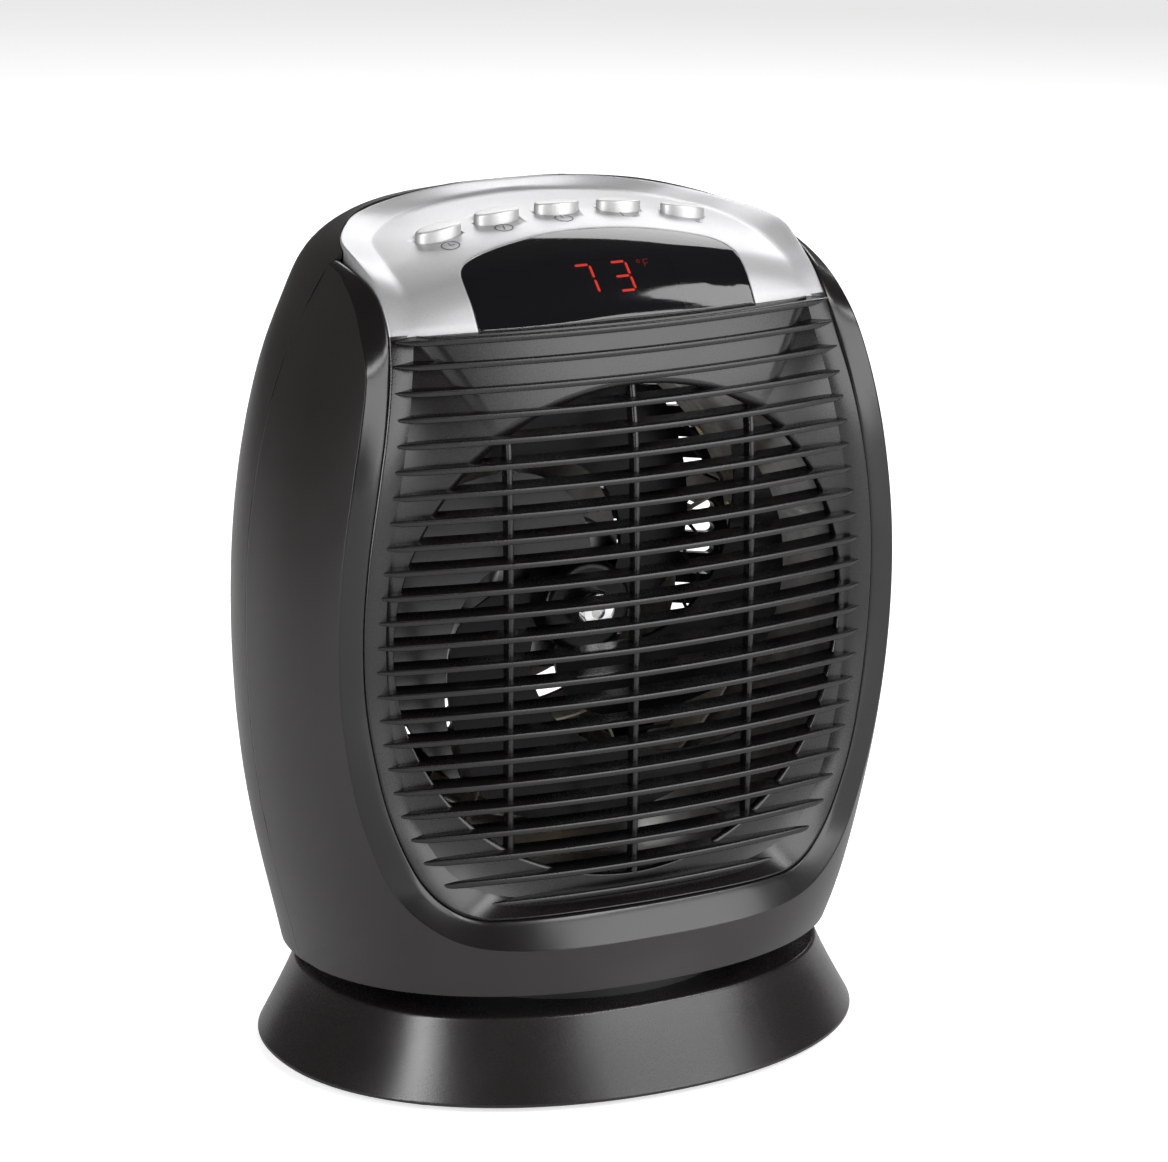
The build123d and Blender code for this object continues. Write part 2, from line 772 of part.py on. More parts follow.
save(rear_housing, "rear_housing")

# Front grille: flat border, shelf, bowed plate with its round opening, ribs and louvres

with BuildPart() as louvres:
    for row in range(louvre_count):
        z = louvre_top_z - louvre_pitch * row
        hinge_y = louvre_front_y + 13.0
        level = Plane(origin=(0, hinge_y, z), x_dir=(1, 0, 0),
                      z_dir=(0, -sin(radians(louvre_tilt)), cos(radians(louvre_tilt))))
        with BuildSketch(level):
            add(arc_band(Plane.XY, louvre_y(z) - hinge_y, louvre_depth))
        extrude(amount=-louvre_height)
    add(outline_prism(window_outline, -80.0, -30.0, louvre_tip_gap), mode=Mode.INTERSECT)

shelf_low = window_outline[0][1] + seat_gap
shelf_high = plate_outline[0][1]
with BuildPart() as front_grille:
    with BuildSketch(Plane.YZ.offset(-100)):
        with BuildLine():
            face_points = [(y, z) for z, y in border_profile]
            Spline(*face_points)
            Line(face_points[-1], (face_points[-1][0] + grille_wall, face_points[-1][1]))
            Spline(*[(y + grille_wall, z) for y, z in reversed(face_points)])
            Line((face_points[0][0] + grille_wall, face_points[0][1]), face_points[0])
        make_face()
    extrude(amount=200)
    add(outline_prism(plate_outline, -90.0, -20.0), mode=Mode.SUBTRACT)
    with BuildPart(mode=Mode.PRIVATE) as shelf:
        with BuildSketch(Plane.XY.offset(shelf_low)):
            with BuildLine():
                ThreePointArc((-75, -56.4), (0, -69.6), (75, -56.4))
                Polyline((75, -56.4), (75, -50), (-75, -50), (-75, -56.4))
            make_face()
        with BuildSketch(Plane.XY.offset(shelf_high)):
            with BuildLine():
                ThreePointArc((-75, -52.0), (0, louvre_front_y + louvre_proud), (75, -52.0))
                Polyline((75, -52.0), (75, -50), (-75, -50), (-75, -52.0))
            make_face()
        loft(ruled=True)
    add(shelf.part)
    add(outline_prism(window_outline, -90.0, -20.0, seat_gap), mode=Mode.INTERSECT)
    with BuildPart(mode=Mode.PRIVATE) as plate:
        add(plate_band(0.0, grille_wall, high=panel_bottom_z - seat_gap))
        add(outline_prism(plate_outline, -90.0, -20.0, -1.0), mode=Mode.INTERSECT)
    add(plate.part)
    with BuildSketch(Plane.XZ.offset(100)):
        with Locations((0, fan_z)):
            Circle(opening_radius)
    extrude(amount=-100, mode=Mode.SUBTRACT)
    with BuildPart(mode=Mode.PRIVATE) as ribs:
        add(plate_band(0.0, rib_depth))
        with BuildPart(mode=Mode.PRIVATE) as rib_bars:
            with BuildSketch(Plane.XZ):
                with Locations(*[(x, fan_z) for x in rib_at]):
                    Rectangle(rib_width, 2 * opening_radius + 4)
                with Locations((0, fan_z)):
                    Circle(opening_radius + 0.2, mode=Mode.INTERSECT)
            extrude(amount=100)
        add(rib_bars.part, mode=Mode.INTERSECT)
    add(ribs.part)
    add(louvres.part)
save(front_grille, "front_grille")

# Control panel, its sunken field, window opening and button holes

field_top = crown_solid(field_profile)
panel_inner = crown_solid(field_profile, panel_wall, panel_wall)
board_top = board_z + board_thick
panel_post = 3.0         # radius of a post under the panel
post_at = [(sx * 54.0, y) for sx in (-1, 1) for y in (-9.0, 17.0)]
window_front = -62.0


def window_face(inset):
    """Display window's outline on XY, open to the front, moved inwards by an inset."""
    half, side_y = window_corner[0] - inset, window_corner[1]
    shoulder_x, shoulder_y = window_shoulder[0] - inset, window_shoulder[1] - inset
    middle_x, middle_y = (half + shoulder_x) / 2 + 1.6, (side_y + shoulder_y) / 2 + 1.2
    with BuildSketch() as face:
        with BuildLine():
            Line((-half, window_front), (-half, side_y))
            ThreePointArc((-half, side_y), (-middle_x, middle_y), (-shoulder_x, shoulder_y))
            ThreePointArc((-shoulder_x, shoulder_y), (0, window_crest - inset), (shoulder_x, shoulder_y))
            ThreePointArc((shoulder_x, shoulder_y), (middle_x, middle_y), (half, side_y))
            Polyline((half, side_y), (half, window_front), (-half, window_front))
        make_face()
    return face.sketch


def button_place(x):
    """Plan position and surface height of the button at x."""
    y = button_y - button_arc * x ** 2
    return (x, y, profile_height(field_profile, x, y))


def field_slope(x, y):
    """Rise of the field towards the rear across a button."""
    reach = button_width / 2 + button_flange
    return (profile_height(field_profile, x, y + reach) - profile_height(field_profile, x, y - reach)) / (2 * reach)


button_plan = [button_place(x)[:2] for x in button_at_x]

with BuildPart() as control_panel:
    add(plan_prism(panel_outline, -60.0, panel_bottom_z, 300.0))
    add(crown_solid(rim_profile), mode=Mode.INTERSECT)
    with BuildPart(mode=Mode.PRIVATE) as dish:
        add(plan_prism(field_outline, window_front, 200.0, 300.0))
        add(field_top, mode=Mode.SUBTRACT)
    add(dish.part, mode=Mode.SUBTRACT)
    add(panel_inner, mode=Mode.SUBTRACT)
    with BuildPart(mode=Mode.PRIVATE) as panel_posts:
        with BuildSketch(Plane.XY.offset(board_top)):
            with Locations(*post_at):
                Circle(panel_post)
        extrude(amount=30)
        add(crown_solid(field_profile, 1.0), mode=Mode.INTERSECT)
    add(panel_posts.part)
    with BuildSketch(Plane.XY.offset(board_top)):
        with Locations(*post_at):
            Circle(1.0)
    extrude(amount=6, mode=Mode.SUBTRACT)
    with BuildSketch(Plane.XY.offset(panel_bottom_z - 1)):
        add(window_face(0.0))
    extrude(amount=50, mode=Mode.SUBTRACT)
    with BuildSketch(Plane.XY.offset(board_top + 5)):
        with Locations(*button_plan):
            Ellipse(button_length / 2 + run_gap, button_width / 2 + run_gap)
    extrude(amount=30, mode=Mode.SUBTRACT)
save(control_panel, "control_panel")

with BuildPart() as display_window:
    with BuildSketch(Plane.XY.offset(panel_bottom_z)):
        add(window_face(0.15))
    extrude(amount=50)
    add(field_top, mode=Mode.INTERSECT)
    add(panel_inner, mode=Mode.SUBTRACT)
save(display_window, "display_window")

# Dark frame behind the window, with the display module set in it

frame_depth = panel_wall + 1.8
module_half = (display_size[0] / 2 + seat_gap, display_size[1] / 2 + seat_gap)
with BuildPart() as display_frame:
    with BuildSketch(Plane.XY.offset(panel_bottom_z)):
        with Locations((0, -46)):
            Rectangle(112, 56)
    extrude(amount=50)
    add(panel_inner, mode=Mode.INTERSECT)
    add(crown_solid(field_profile, frame_depth, frame_depth), mode=Mode.SUBTRACT)
    with BuildSketch(display_plane(20.0)):
        Rectangle(2 * module_half[0], 2 * module_half[1])
    extrude(amount=30, mode=Mode.SUBTRACT)
save(display_frame, "display_frame")

with BuildPart() as display_module:
    with BuildSketch(display_plane(display_set)):
        RectangleRounded(display_size[0], display_size[1], 1.0)
    extrude(amount=-display_size[2])
save(display_module, "display_module")

segments = {
    # centre across and up in digit sizes, and whether the bar lies flat
    "top": (0.0, 0.5, True), "middle": (0.0, 0.0, True), "bottom": (0.0, -0.5, True),
    "upper_right": (0.5, 0.25, False), "lower_right": (0.5, -0.25, False),
}
digits = (("top", "upper_right", "lower_right"),
          ("top", "middle", "bottom", "upper_right", "lower_right"))
span_x = digit_width - digit_stroke
span_y = digit_height - digit_stroke
with BuildPart() as display_digits:
    with BuildSketch(display_plane(display_set)):
        for centre, lit in zip(digit_at, digits):
            for bar in lit:
                across, up, flat = segments[bar]
                with Locations((centre + across * span_x, digit_up + up * span_y)):
                    if flat:
                        Rectangle(span_x - digit_stroke - 0.2, digit_stroke)
                    else:
                        Rectangle(digit_stroke, span_y / 2 - 0.3)
    extrude(amount=digit_thick)
save(display_digits, "display_digits")

# Push buttons, each with a flange under the panel and a stem over its switch

switch_top = board_top + switch_height
stem_low = switch_top + button_travel + run_gap
for name, at_x in zip(button_names, button_at_x):
    x, y, z = button_place(at_x)
    lean, slope = x / crown_radius, field_slope(x, y)
    flange_drop = panel_wall * (1 + slope) + 2 * run_gap + seat_gap
    flange_plane = Plane(origin=(x, y, z - flange_drop), x_dir=(1, 0, -lean), z_dir=(lean, -slope, 1))
    top_plane = Plane(origin=(x, y, z + button_rise / 2), x_dir=(1, 0, -lean),
                      z_dir=(lean, button_rise / button_width - slope, 1))
    with BuildPart() as button:
        with BuildSketch(Plane.XY.offset(z - button_skirt)):
            with Locations((x, y)):
                Ellipse(button_length / 2 + button_flange, button_width / 2 + button_flange)
        extrude(amount=button_skirt)
        with BuildSketch(flange_plane):
            Rectangle(40, 40)
        extrude(amount=10, mode=Mode.SUBTRACT)
        with BuildSketch(Plane.XY.offset(z - button_skirt)):
            with Locations(*post_at):
                Circle(panel_post + run_gap)
        extrude(amount=button_skirt, mode=Mode.SUBTRACT)
        with BuildSketch(Plane.XY.offset(z - button_skirt)):
            with Locations((x, y)):
                Ellipse(button_length / 2, button_width / 2)
        extrude(amount=button_skirt + 6)
        with BuildSketch(top_plane):
            Rectangle(40, 40)
        extrude(amount=10, mode=Mode.SUBTRACT)
        with BuildSketch(Plane.XY.offset(stem_low)):
            with Locations((x, y)):
                Circle(1.6)
        extrude(amount=z - button_skirt + 0.5 - stem_low)
    save(button, name)

with BuildPart() as button_switches:
    with BuildSketch(Plane.XY.offset(board_top)):
        with Locations(*button_plan):
            Rectangle(6, 6)
    extrude(amount=switch_height - 0.8)
    with BuildSketch(Plane.XY.offset(switch_top - 0.8)):
        with Locations(*button_plan):
            Circle(1.7)
    extrude(amount=0.8)
save(button_switches, "button_switches")

with BuildPart() as control_board:
    with BuildSketch(Plane.XY.offset(board_z)):
        with Locations((0, 4)):
            Rectangle(120, 34)
        with Locations(*post_at):
            Circle(1.3, mode=Mode.SUBTRACT)
    extrude(amount=board_thick)
save(control_board, "control_board")

with BuildPart() as board_screws:
    with BuildSketch(Plane.XY.offset(board_z - 1.6)):
        with Locations(*post_at):
            Circle(2.3)
    extrude(amount=1.6)
    with BuildSketch(Plane.XY.offset(board_z)):
        with Locations(*post_at):
            Circle(0.95)
    extrude(amount=board_thick + 5)
save(board_screws, "board_screws")

# Air duct round the fan and the element

duct_inner = duct_radius - duct_wall
duct_front = 62.0


def fan_plane(y):
    """Plane square to the fan's axis at a depth, with its centre on the axis."""
    return Plane(origin=(0, y, fan_z), x_dir=(1, 0, 0), z_dir=(0, -1, 0))


with BuildPart() as air_duct:
    with BuildSketch(fan_plane(duct_back)):
        Circle(duct_radius)
        Circle(duct_inner, mode=Mode.SUBTRACT)
    extrude(amount=duct_front + duct_back)
    louvre_tail = louvre_depth - louvre_proud
    add(plate_band(-30.0, 30.0 + louvre_tail + 2 * seat_gap, low=40.0), mode=Mode.SUBTRACT)
save(air_duct, "air_duct")

# Fan: hub with blades, shaft and nose nut

blade_step = 360 / blade_count
blade_middle = blade_edges[3][1] + blade_step / 2


def polar(radius, angle):
    """Point on the fan's plane at a radius and an angle in degrees."""
    return (radius * cos(radians(angle)), radius * sin(radians(angle)))


with BuildPart() as blade:
    with BuildSketch():
        with BuildLine():
            lead = Spline(*[polar(r, mid + half - blade_middle) for r, mid, half in blade_edges])
            trail = Spline(*[polar(r, mid + blade_step - half - blade_middle) for r, mid, half in blade_edges])
            ThreePointArc(lead @ 1, (blade_radius, 0), trail @ 1)
            Line(lead @ 0, trail @ 0)
        make_face()
    extrude(amount=blade_thick / 2, both=True)
blade_turn = Rotation(blade_tilt, 0, 0)
blade_seat = Plane(origin=(0, (hub_front + hub_back) / 2, fan_z), x_dir=(1, 0, 0), z_dir=(0, -1, 0))

with BuildPart() as fan_impeller:
    with BuildSketch(fan_plane(hub_back)):
        Circle(hub_radius)
    extrude(amount=hub_back - hub_front)
    fillet(fan_impeller.edges().group_by(Axis.Y)[0], 3.0)
    for i in range(blade_count):
        spin = Rotation(0, 0, blade_middle + blade_step * i)
        add(blade_seat.location * spin * blade_turn * blade.part)
    with BuildSketch(fan_plane(hub_back + 5)):
        Circle(shaft_radius)
    extrude(amount=40, mode=Mode.SUBTRACT)
save(fan_impeller, "fan_impeller")

shaft_front = nose_front + 1
with BuildPart() as motor_shaft:
    with BuildSketch(fan_plane(motor_back - 4)):
        Circle(shaft_radius)
    extrude(amount=motor_back - 4 - shaft_front)
save(motor_shaft, "motor_shaft")

with BuildPart() as fan_nut:
    with BuildSketch(fan_plane(hub_front)):
        Circle(nose_radius)
    extrude(amount=hub_front - nose_front)
    fillet(fan_nut.edges().group_by(Axis.Y)[0], 2.0)
    with BuildSketch(fan_plane(hub_front)):
        Circle(shaft_radius)
    extrude(amount=20, mode=Mode.SUBTRACT)
save(fan_nut, "fan_nut")

with BuildPart() as fan_motor:
    with BuildSketch(fan_plane(motor_back)):
        Circle(motor_radius)
    extrude(amount=motor_back - motor_front)
    fillet(fan_motor.edges().filter_by(GeomType.CIRCLE), 2.0)
    with BuildSketch(fan_plane(motor_back - 3.5)):
        Circle(shaft_radius + shaft_gap)
    extrude(amount=60, mode=Mode.SUBTRACT)
    with BuildSketch(fan_plane(motor_back)):
        with PolarLocations(motor_screw_ring, 3, start_angle=90):
            Circle(1.2)
    extrude(amount=6, mode=Mode.SUBTRACT)
save(fan_motor, "fan_motor")

# Bracket that hangs the fan motor on the duct's rear edge

bracket_back = motor_back + bracket_thick
with BuildPart() as motor_bracket:
    with BuildSketch(fan_plane(bracket_back)):
        Circle(bracket_disc)
        with PolarLocations(duct_radius / 2, 3, start_angle=90):
            Rectangle(duct_radius + 4, bracket_arm)
        Circle(duct_radius, mode=Mode.INTERSECT)
        with PolarLocations(motor_screw_ring, 3, start_angle=90):
            Circle(1.4, mode=Mode.SUBTRACT)
    extrude(amount=bracket_thick)
    with BuildSketch(fan_plane(motor_back)):
        with PolarLocations(duct_radius - 1.5, 3, start_angle=90):
            Rectangle(6, bracket_arm)
        Circle(duct_radius, mode=Mode.INTERSECT)
    extrude(amount=motor_back - duct_back - seat_gap)
save(motor_bracket, "motor_bracket")

with BuildPart() as motor_screws:
    with BuildSketch(fan_plane(bracket_back + 1.6)):
        with PolarLocations(motor_screw_ring, 3, start_angle=90):
            Circle(2.6)
    extrude(amount=1.6)
    with BuildSketch(fan_plane(bracket_back)):
        with PolarLocations(motor_screw_ring, 3, start_angle=90):
            Circle(1.15)
    extrude(amount=bracket_thick + 5)
save(motor_screws, "motor_screws")

# Heating element: mica rings and spokes, two laced wires, terminals and eyelets

bridge_back = element_back + terminal_thick + mica_thick
spoke_out = duct_inner - seat_gap
terminal_angles = [sign * wire_gap_degrees / 2 - 90 for sign in (-1, 1)]


def radial_plane(angle):
    """Plane through the fan's axis at an angle: x is the radius, y runs to the rear."""
    turn = radians(angle)
    return Plane(origin=(0, 0, fan_z), x_dir=(cos(turn), 0, sin(turn)), z_dir=(-sin(turn), 0, cos(turn)))


def drum_plane(angle, radius):
    """Plane square to a radius of the drum, at a distance from the axis, y runs to the rear."""
    c, s = cos(radians(angle)), sin(radians(angle))
    return Plane(origin=(radius * c, 0, fan_z + radius * s), x_dir=(s, 0, -c), z_dir=(c, 0, s))


eyelet_angles = [360 / eyelet_count * (i + 0.5) for i in range(eyelet_count)]

with BuildPart() as mica_frame:
    with BuildSketch(fan_plane(element_back)):
        Circle(element_outer)
        Circle(element_outer - mica_thick, mode=Mode.SUBTRACT)
    extrude(amount=element_back - element_front)
    with BuildSketch(fan_plane(element_back)):
        Circle(element_inner)
        Circle(element_inner - mica_thick, mode=Mode.SUBTRACT)
    extrude(amount=element_back - element_front)
    for i in range(mica_spokes):
        angle = 360 / mica_spokes * (i + 0.5) - 90
        back = bridge_back if abs(angle + 90) < bridge_degrees / 2 or angle > 225 else element_back
        with BuildSketch(radial_plane(angle)):
            with Locations(((element_inner - 0.4 + spoke_out) / 2, (element_front + back) / 2)):
                Rectangle(spoke_out - element_inner + 0.4, back - element_front)
            with Locations(*[(ring, (wire_front + wire_back) / 2) for ring in wire_rings]):
                Rectangle(spoke_slot, wire_back - wire_front + 2 * wire_radius + 1.0, mode=Mode.SUBTRACT)
        extrude(amount=mica_thick / 2, both=True)
    with BuildSketch(fan_plane(bridge_back)):
        with BuildLine():
            bridge_from = -90 - bridge_degrees / 2
            outer_arc = CenterArc((0, 0), element_outer, bridge_from, bridge_degrees)
            inner_arc = CenterArc((0, 0), element_inner - mica_thick, bridge_from, bridge_degrees)
            Line(outer_arc @ 0, inner_arc @ 0)
            Line(outer_arc @ 1, inner_arc @ 1)
        make_face()
    extrude(amount=mica_thick)
    for angle in eyelet_angles:
        with BuildSketch(drum_plane(angle, element_outer - 3)):
            with Locations((0, eyelet_y)):
                Circle(eyelet_radius + shaft_gap)
        extrude(amount=5, mode=Mode.SUBTRACT)
save(mica_frame, "mica_frame")

with BuildPart() as element_eyelets:
    for angle in eyelet_angles:
        with BuildSketch(drum_plane(angle, element_outer - mica_thick - 0.6)):
            with Locations((0, eyelet_y)):
                Circle(eyelet_radius + 0.8)
        extrude(amount=0.5)
        with BuildSketch(drum_plane(angle, element_outer - mica_thick - 0.6)):
            with Locations((0, eyelet_y)):
                Circle(eyelet_radius)
        extrude(amount=mica_thick + 1.0)
save(element_eyelets, "element_eyelets")

with BuildPart() as element_terminals:
    with BuildSketch(fan_plane(element_back + terminal_thick)):
        for ring in wire_rings:
            for angle in terminal_angles:
                turn = radians(angle)
                with Locations(Location((ring * cos(turn), ring * sin(turn), 0), (0, 0, angle))):
                    Rectangle(8, 6)
    extrude(amount=terminal_thick)
save(element_terminals, "element_terminals")


def wire_points(ring):
    """Corners of a wire laced to and fro round a ring, with both ends run to their terminals."""
    legs = 2 * (wire_loops - 1)
    first, span = terminal_angles[1], 360 - wire_gap_degrees
    corners = [(first, element_back)]
    corners += [(first + span * i / legs, wire_back if i % 2 else wire_front) for i in range(legs + 1)]
    corners += [(first + span, element_back)]
    return [(ring * cos(radians(a)), y, fan_z + ring * sin(radians(a))) for a, y in corners]


def least_gap(path, step=0.45):
    """Least clear distance between parts of a wire that aren't neighbours along it."""
    count = int(path.length / step)
    points = [tuple(path @ (i / count)) for i in range(count + 1)]
    apart = int(pi * wire_bend / step) + 1
    nearest = min(dist(points[i], points[j]) for i in range(count + 1)
                  for j in range(i + apart, min(i + 8 * apart, count + 1)))
    return nearest - 2 * wire_radius


for name, ring in zip(("heating_wire_outer", "heating_wire_inner"), wire_rings):
    with BuildPart() as heating_wire:
        with BuildLine() as lacing:
            FilletPolyline(*wire_points(ring), radius=wire_bend)
        path = lacing.wire()
        with BuildSketch(Plane(origin=path @ 0, z_dir=path % 0)):
            Circle(wire_radius)
        sweep(path=path)
    print(name, "least gap to itself", round(least_gap(path), 2))
    save(heating_wire, name)

# Thermal cutout and fuse on the duct, and the room sensor on the floor

with BuildPart() as thermal_cutout:
    with BuildSketch(Plane.XY.offset(fan_z + duct_radius + shaft_gap)):
        with Locations((0, -10)):
            Circle(8)
    extrude(amount=6)
save(thermal_cutout, "thermal_cutout")

fuse_radius = 2.2
fuse_turn = radians(70)
fuse_out = duct_radius + fuse_radius + shaft_gap
with BuildPart() as thermal_fuse:
    with BuildSketch(fan_plane(-4)):
        with Locations((fuse_out * cos(fuse_turn), fuse_out * sin(fuse_turn))):
            Circle(fuse_radius)
    extrude(amount=12)
save(thermal_fuse, "thermal_fuse")

with BuildPart() as room_sensor:
    with BuildSketch(Plane.XY.offset(floor_top)):
        with Locations((52, 30)):
            Circle(2.2)
    extrude(amount=12)
    fillet(room_sensor.edges().group_by(Axis.Z)[-1], 1.2)
save(room_sensor, "room_sensor")

# Power board with its relays and capacitor

power_board_z = floor_top + board_post
power_top = power_board_z + board_thick
with BuildPart() as power_board:
    with BuildSketch(Plane.XY.offset(power_board_z)):
        with Locations(power_board_at):
            Rectangle(*power_board_size)
    extrude(amount=board_thick)
save(power_board, "power_board")

with BuildPart() as board_relays:
    with BuildSketch(Plane.XY.offset(power_top)):
        with Locations((-20, -42), (5, -42)):
            Rectangle(19, 15)
    extrude(amount=15)
save(board_relays, "board_relays")

with BuildPart() as board_capacitor:
    with BuildSketch(Plane.XY.offset(power_top)):
        with Locations((26, -42)):
            Circle(6)
    extrude(amount=14)
save(board_capacitor, "board_capacitor")
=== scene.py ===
"""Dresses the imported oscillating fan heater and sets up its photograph.

Sizes are in millimetres inside the classes and are turned into metres where a
Blender object is made. Lamps are placed in metres. The heater faces -Y, and Z is up.
"""

from __future__ import annotations

import json
import logging
import math
from dataclasses import dataclass
from enum import Enum
from typing import Sequence

import bmesh
import bpy
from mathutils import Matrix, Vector

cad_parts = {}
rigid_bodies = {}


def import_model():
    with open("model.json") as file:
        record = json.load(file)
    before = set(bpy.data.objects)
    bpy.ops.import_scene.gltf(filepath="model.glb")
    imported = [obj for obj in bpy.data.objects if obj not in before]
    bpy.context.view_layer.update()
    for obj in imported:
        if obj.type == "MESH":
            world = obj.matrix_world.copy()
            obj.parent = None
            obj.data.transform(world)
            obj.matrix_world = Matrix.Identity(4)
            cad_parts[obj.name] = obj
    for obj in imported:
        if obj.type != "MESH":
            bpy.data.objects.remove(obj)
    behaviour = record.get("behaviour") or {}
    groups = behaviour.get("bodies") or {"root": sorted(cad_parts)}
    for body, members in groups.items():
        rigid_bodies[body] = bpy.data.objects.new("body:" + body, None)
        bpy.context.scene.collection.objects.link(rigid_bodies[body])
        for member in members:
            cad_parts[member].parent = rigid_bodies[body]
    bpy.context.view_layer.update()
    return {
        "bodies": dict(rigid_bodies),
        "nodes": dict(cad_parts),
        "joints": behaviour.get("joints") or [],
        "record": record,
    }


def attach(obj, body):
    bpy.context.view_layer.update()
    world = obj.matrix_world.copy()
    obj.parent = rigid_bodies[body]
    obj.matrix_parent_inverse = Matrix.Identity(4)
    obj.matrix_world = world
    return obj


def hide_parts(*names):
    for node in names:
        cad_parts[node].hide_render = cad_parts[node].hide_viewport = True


log = logging.getLogger("heater")

MM = 0.001
Pair = tuple[float, float]
Triple = tuple[float, float, float]
Piece = bpy.types.Object


class Body(Enum):
    """The moving bodies that scene pieces ride on."""

    HEATER = "heater"
    TIMER = "timer_button"
    SWING = "swing_button"
    POWER = "power_button"
    COOLER = "cooler_button"
    WARMER = "warmer_button"


BUTTON_AT = {Body.TIMER: -44.0, Body.SWING: -22.0, Body.POWER: 0.0, Body.COOLER: 22.0, Body.WARMER: 44.0}


class Slot(Enum):
    """The record's material slots."""

    SHELL = "shell_plastic"
    GRILLE = "grille_plastic"
    SILVER = "panel_silver"
    WINDOW = "smoked_window"
    LIT = "lit_digits"


class Sock:
    """One output of a shader node, with arithmetic on it.

    Args:
        shader: The material builder that owns the node.
        socket: The node's output.
    """

    def __init__(self, shader: Shader, socket: bpy.types.NodeSocket) -> None:
        """Keeps the node's output and its builder."""
        self.shader = shader
        self.socket = socket

    def _math(self, operation: str, first: Sock | float, second: Sock | float) -> Sock:
        """Adds one Math node."""
        return self.shader.node("Math", {"operation": operation}, {0: first, 1: second})

    def __add__(self, other: Sock | float) -> Sock:
        """Returns self + other."""
        return self._math("ADD", self, other)

    def __radd__(self, other: float) -> Sock:
        """Returns other + self."""
        return self._math("ADD", other, self)

    def __sub__(self, other: Sock | float) -> Sock:
        """Returns self - other."""
        return self._math("SUBTRACT", self, other)

    def __rsub__(self, other: float) -> Sock:
        """Returns other - self."""
        return self._math("SUBTRACT", other, self)

    def __mul__(self, other: Sock | float) -> Sock:
        """Returns self * other."""
        return self._math("MULTIPLY", self, other)

    def __rmul__(self, other: float) -> Sock:
        """Returns other * self."""
        return self._math("MULTIPLY", other, self)

    def __gt__(self, other: Sock | float) -> Sock:
        """Returns 1 where self is above other, else 0."""
        return self._math("GREATER_THAN", self, other)


class Shader:
    """Builds one node material."""

    NOISE_LOW, NOISE_HIGH = 0.3, 0.7

    def __init__(self, name: str) -> None:
        """Starts the material from a plain surface.

        Args:
            name: The material's name.
        """
        self.material = bpy.data.materials.new(name)
        self.material.use_nodes = True
        self.tree = self.material.node_tree
        self.surface = self.tree.nodes["Principled BSDF"]
        self.place = self.node("TexCoord", output="Object")

    def feed(self, target: bpy.types.NodeSocket, value: Sock | float | tuple) -> None:
        """Links a socket, or sets its constant.

        Args:
            target: The input to feed.
            value: A node output or a constant.
        """
        if isinstance(value, Sock):
            self.tree.links.new(value.socket, target)
        elif target.type == "RGBA" and len(value) == 3:
            target.default_value = (*value, 1.0)
        else:
            target.default_value = value

    def node(
        self,
        kind: str,
        settings: dict[str, object] | None = None,
        inputs: dict[int | str, object] | None = None,
        output: int | str = 0,
    ) -> Sock:
        """Adds one shader node.

        Args:
            kind: The node's type, without its common prefix.
            settings: Properties, which are set first.
            inputs: Input values or links, by index or name.
            output: The output that is wanted.

        Returns:
            That output.
        """
        made = self.tree.nodes.new("ShaderNode" + kind)
        for name, value in (settings or {}).items():
            setattr(made, name, value)
        for key, value in (inputs or {}).items():
            self.feed(made.inputs[key], value)
        return Sock(self, made.outputs[output])

    def noise(self, size: float, detail: float = 2.0, stretch: Triple = (1, 1, 1)) -> Sock:
        """Adds a noise in object space."""
        spot = self.node("Mapping", inputs={"Vector": self.place, "Scale": tuple(stretch)})
        return self.node("TexNoise", inputs={"Vector": spot, "Scale": 1 / (size * MM), "Detail": detail})

    def mix(self, factor: Sock | float, low: Sock | Triple, high: Sock | Triple) -> Sock:
        """Mixes two colours."""
        return self.node("Mix", {"data_type": "RGBA"}, {0: factor, 6: low, 7: high}, 2)

    def spread(self, value: Sock, low: float, high: float) -> Sock:
        """Maps the part of a noise that matters onto a range."""
        ranges = {1: self.NOISE_LOW, 2: self.NOISE_HIGH, 3: low, 4: high}
        return self.node("MapRange", inputs={0: value, **ranges})

    def tones(self, value: Sock, colour: Triple, tones: Pair) -> Sock:
        """Varies a colour by a noise, from a darker tone of it to a paler one."""
        dark, pale = (tuple(c * tone for c in colour) for tone in tones)
        return self.mix(self.spread(value, 0.0, 1.0), dark, pale)

    def about(self, value: Sock, middle: float, vary: float) -> Sock:
        """Varies a value by a noise, evenly about its middle."""
        return self.spread(value, middle - vary, middle + vary)

    def bump(self, height: Sock, depth: float) -> Sock:
        """Adds a bump whose real depth is in millimetres."""
        return self.node("Bump", inputs={"Height": height, "Distance": depth * MM})

    def set(self, **sockets: Sock | float | tuple) -> bpy.types.Material:
        """Sets the surface's own sockets.

        Args:
            sockets: Socket names with _ for a space, and their values.

        Returns:
            The material.
        """
        for name, value in sockets.items():
            self.feed(self.surface.inputs[name.replace("_", " ")], value)
        return self.material


@dataclass(frozen=True)
class MouldedPlastic:
    """Injection-moulded plastic with a spark-eroded grain."""

    name: str
    colour: Triple
    roughness: float
    grain: float = 0.35
    depth: float = 0.01
    level: float = 0.5
    cloud: float = 30.0
    tones: Pair = (0.9, 1.12)
    vary: float = 0.02
    speck: float = 0.015

    def build(self) -> bpy.types.Material:
        """Builds the material.

        Returns:
            The material.
        """
        shader = Shader(self.name)
        cloud = shader.noise(self.cloud, 3.0)
        grain = shader.noise(self.grain, 2.0)
        return shader.set(
            Base_Color=shader.tones(cloud, self.colour, self.tones),
            Roughness=shader.about(cloud, self.roughness, self.vary) + shader.about(grain, 0.0, self.speck),
            Specular_IOR_Level=self.level,
            Normal=shader.bump(grain, self.depth),
        )


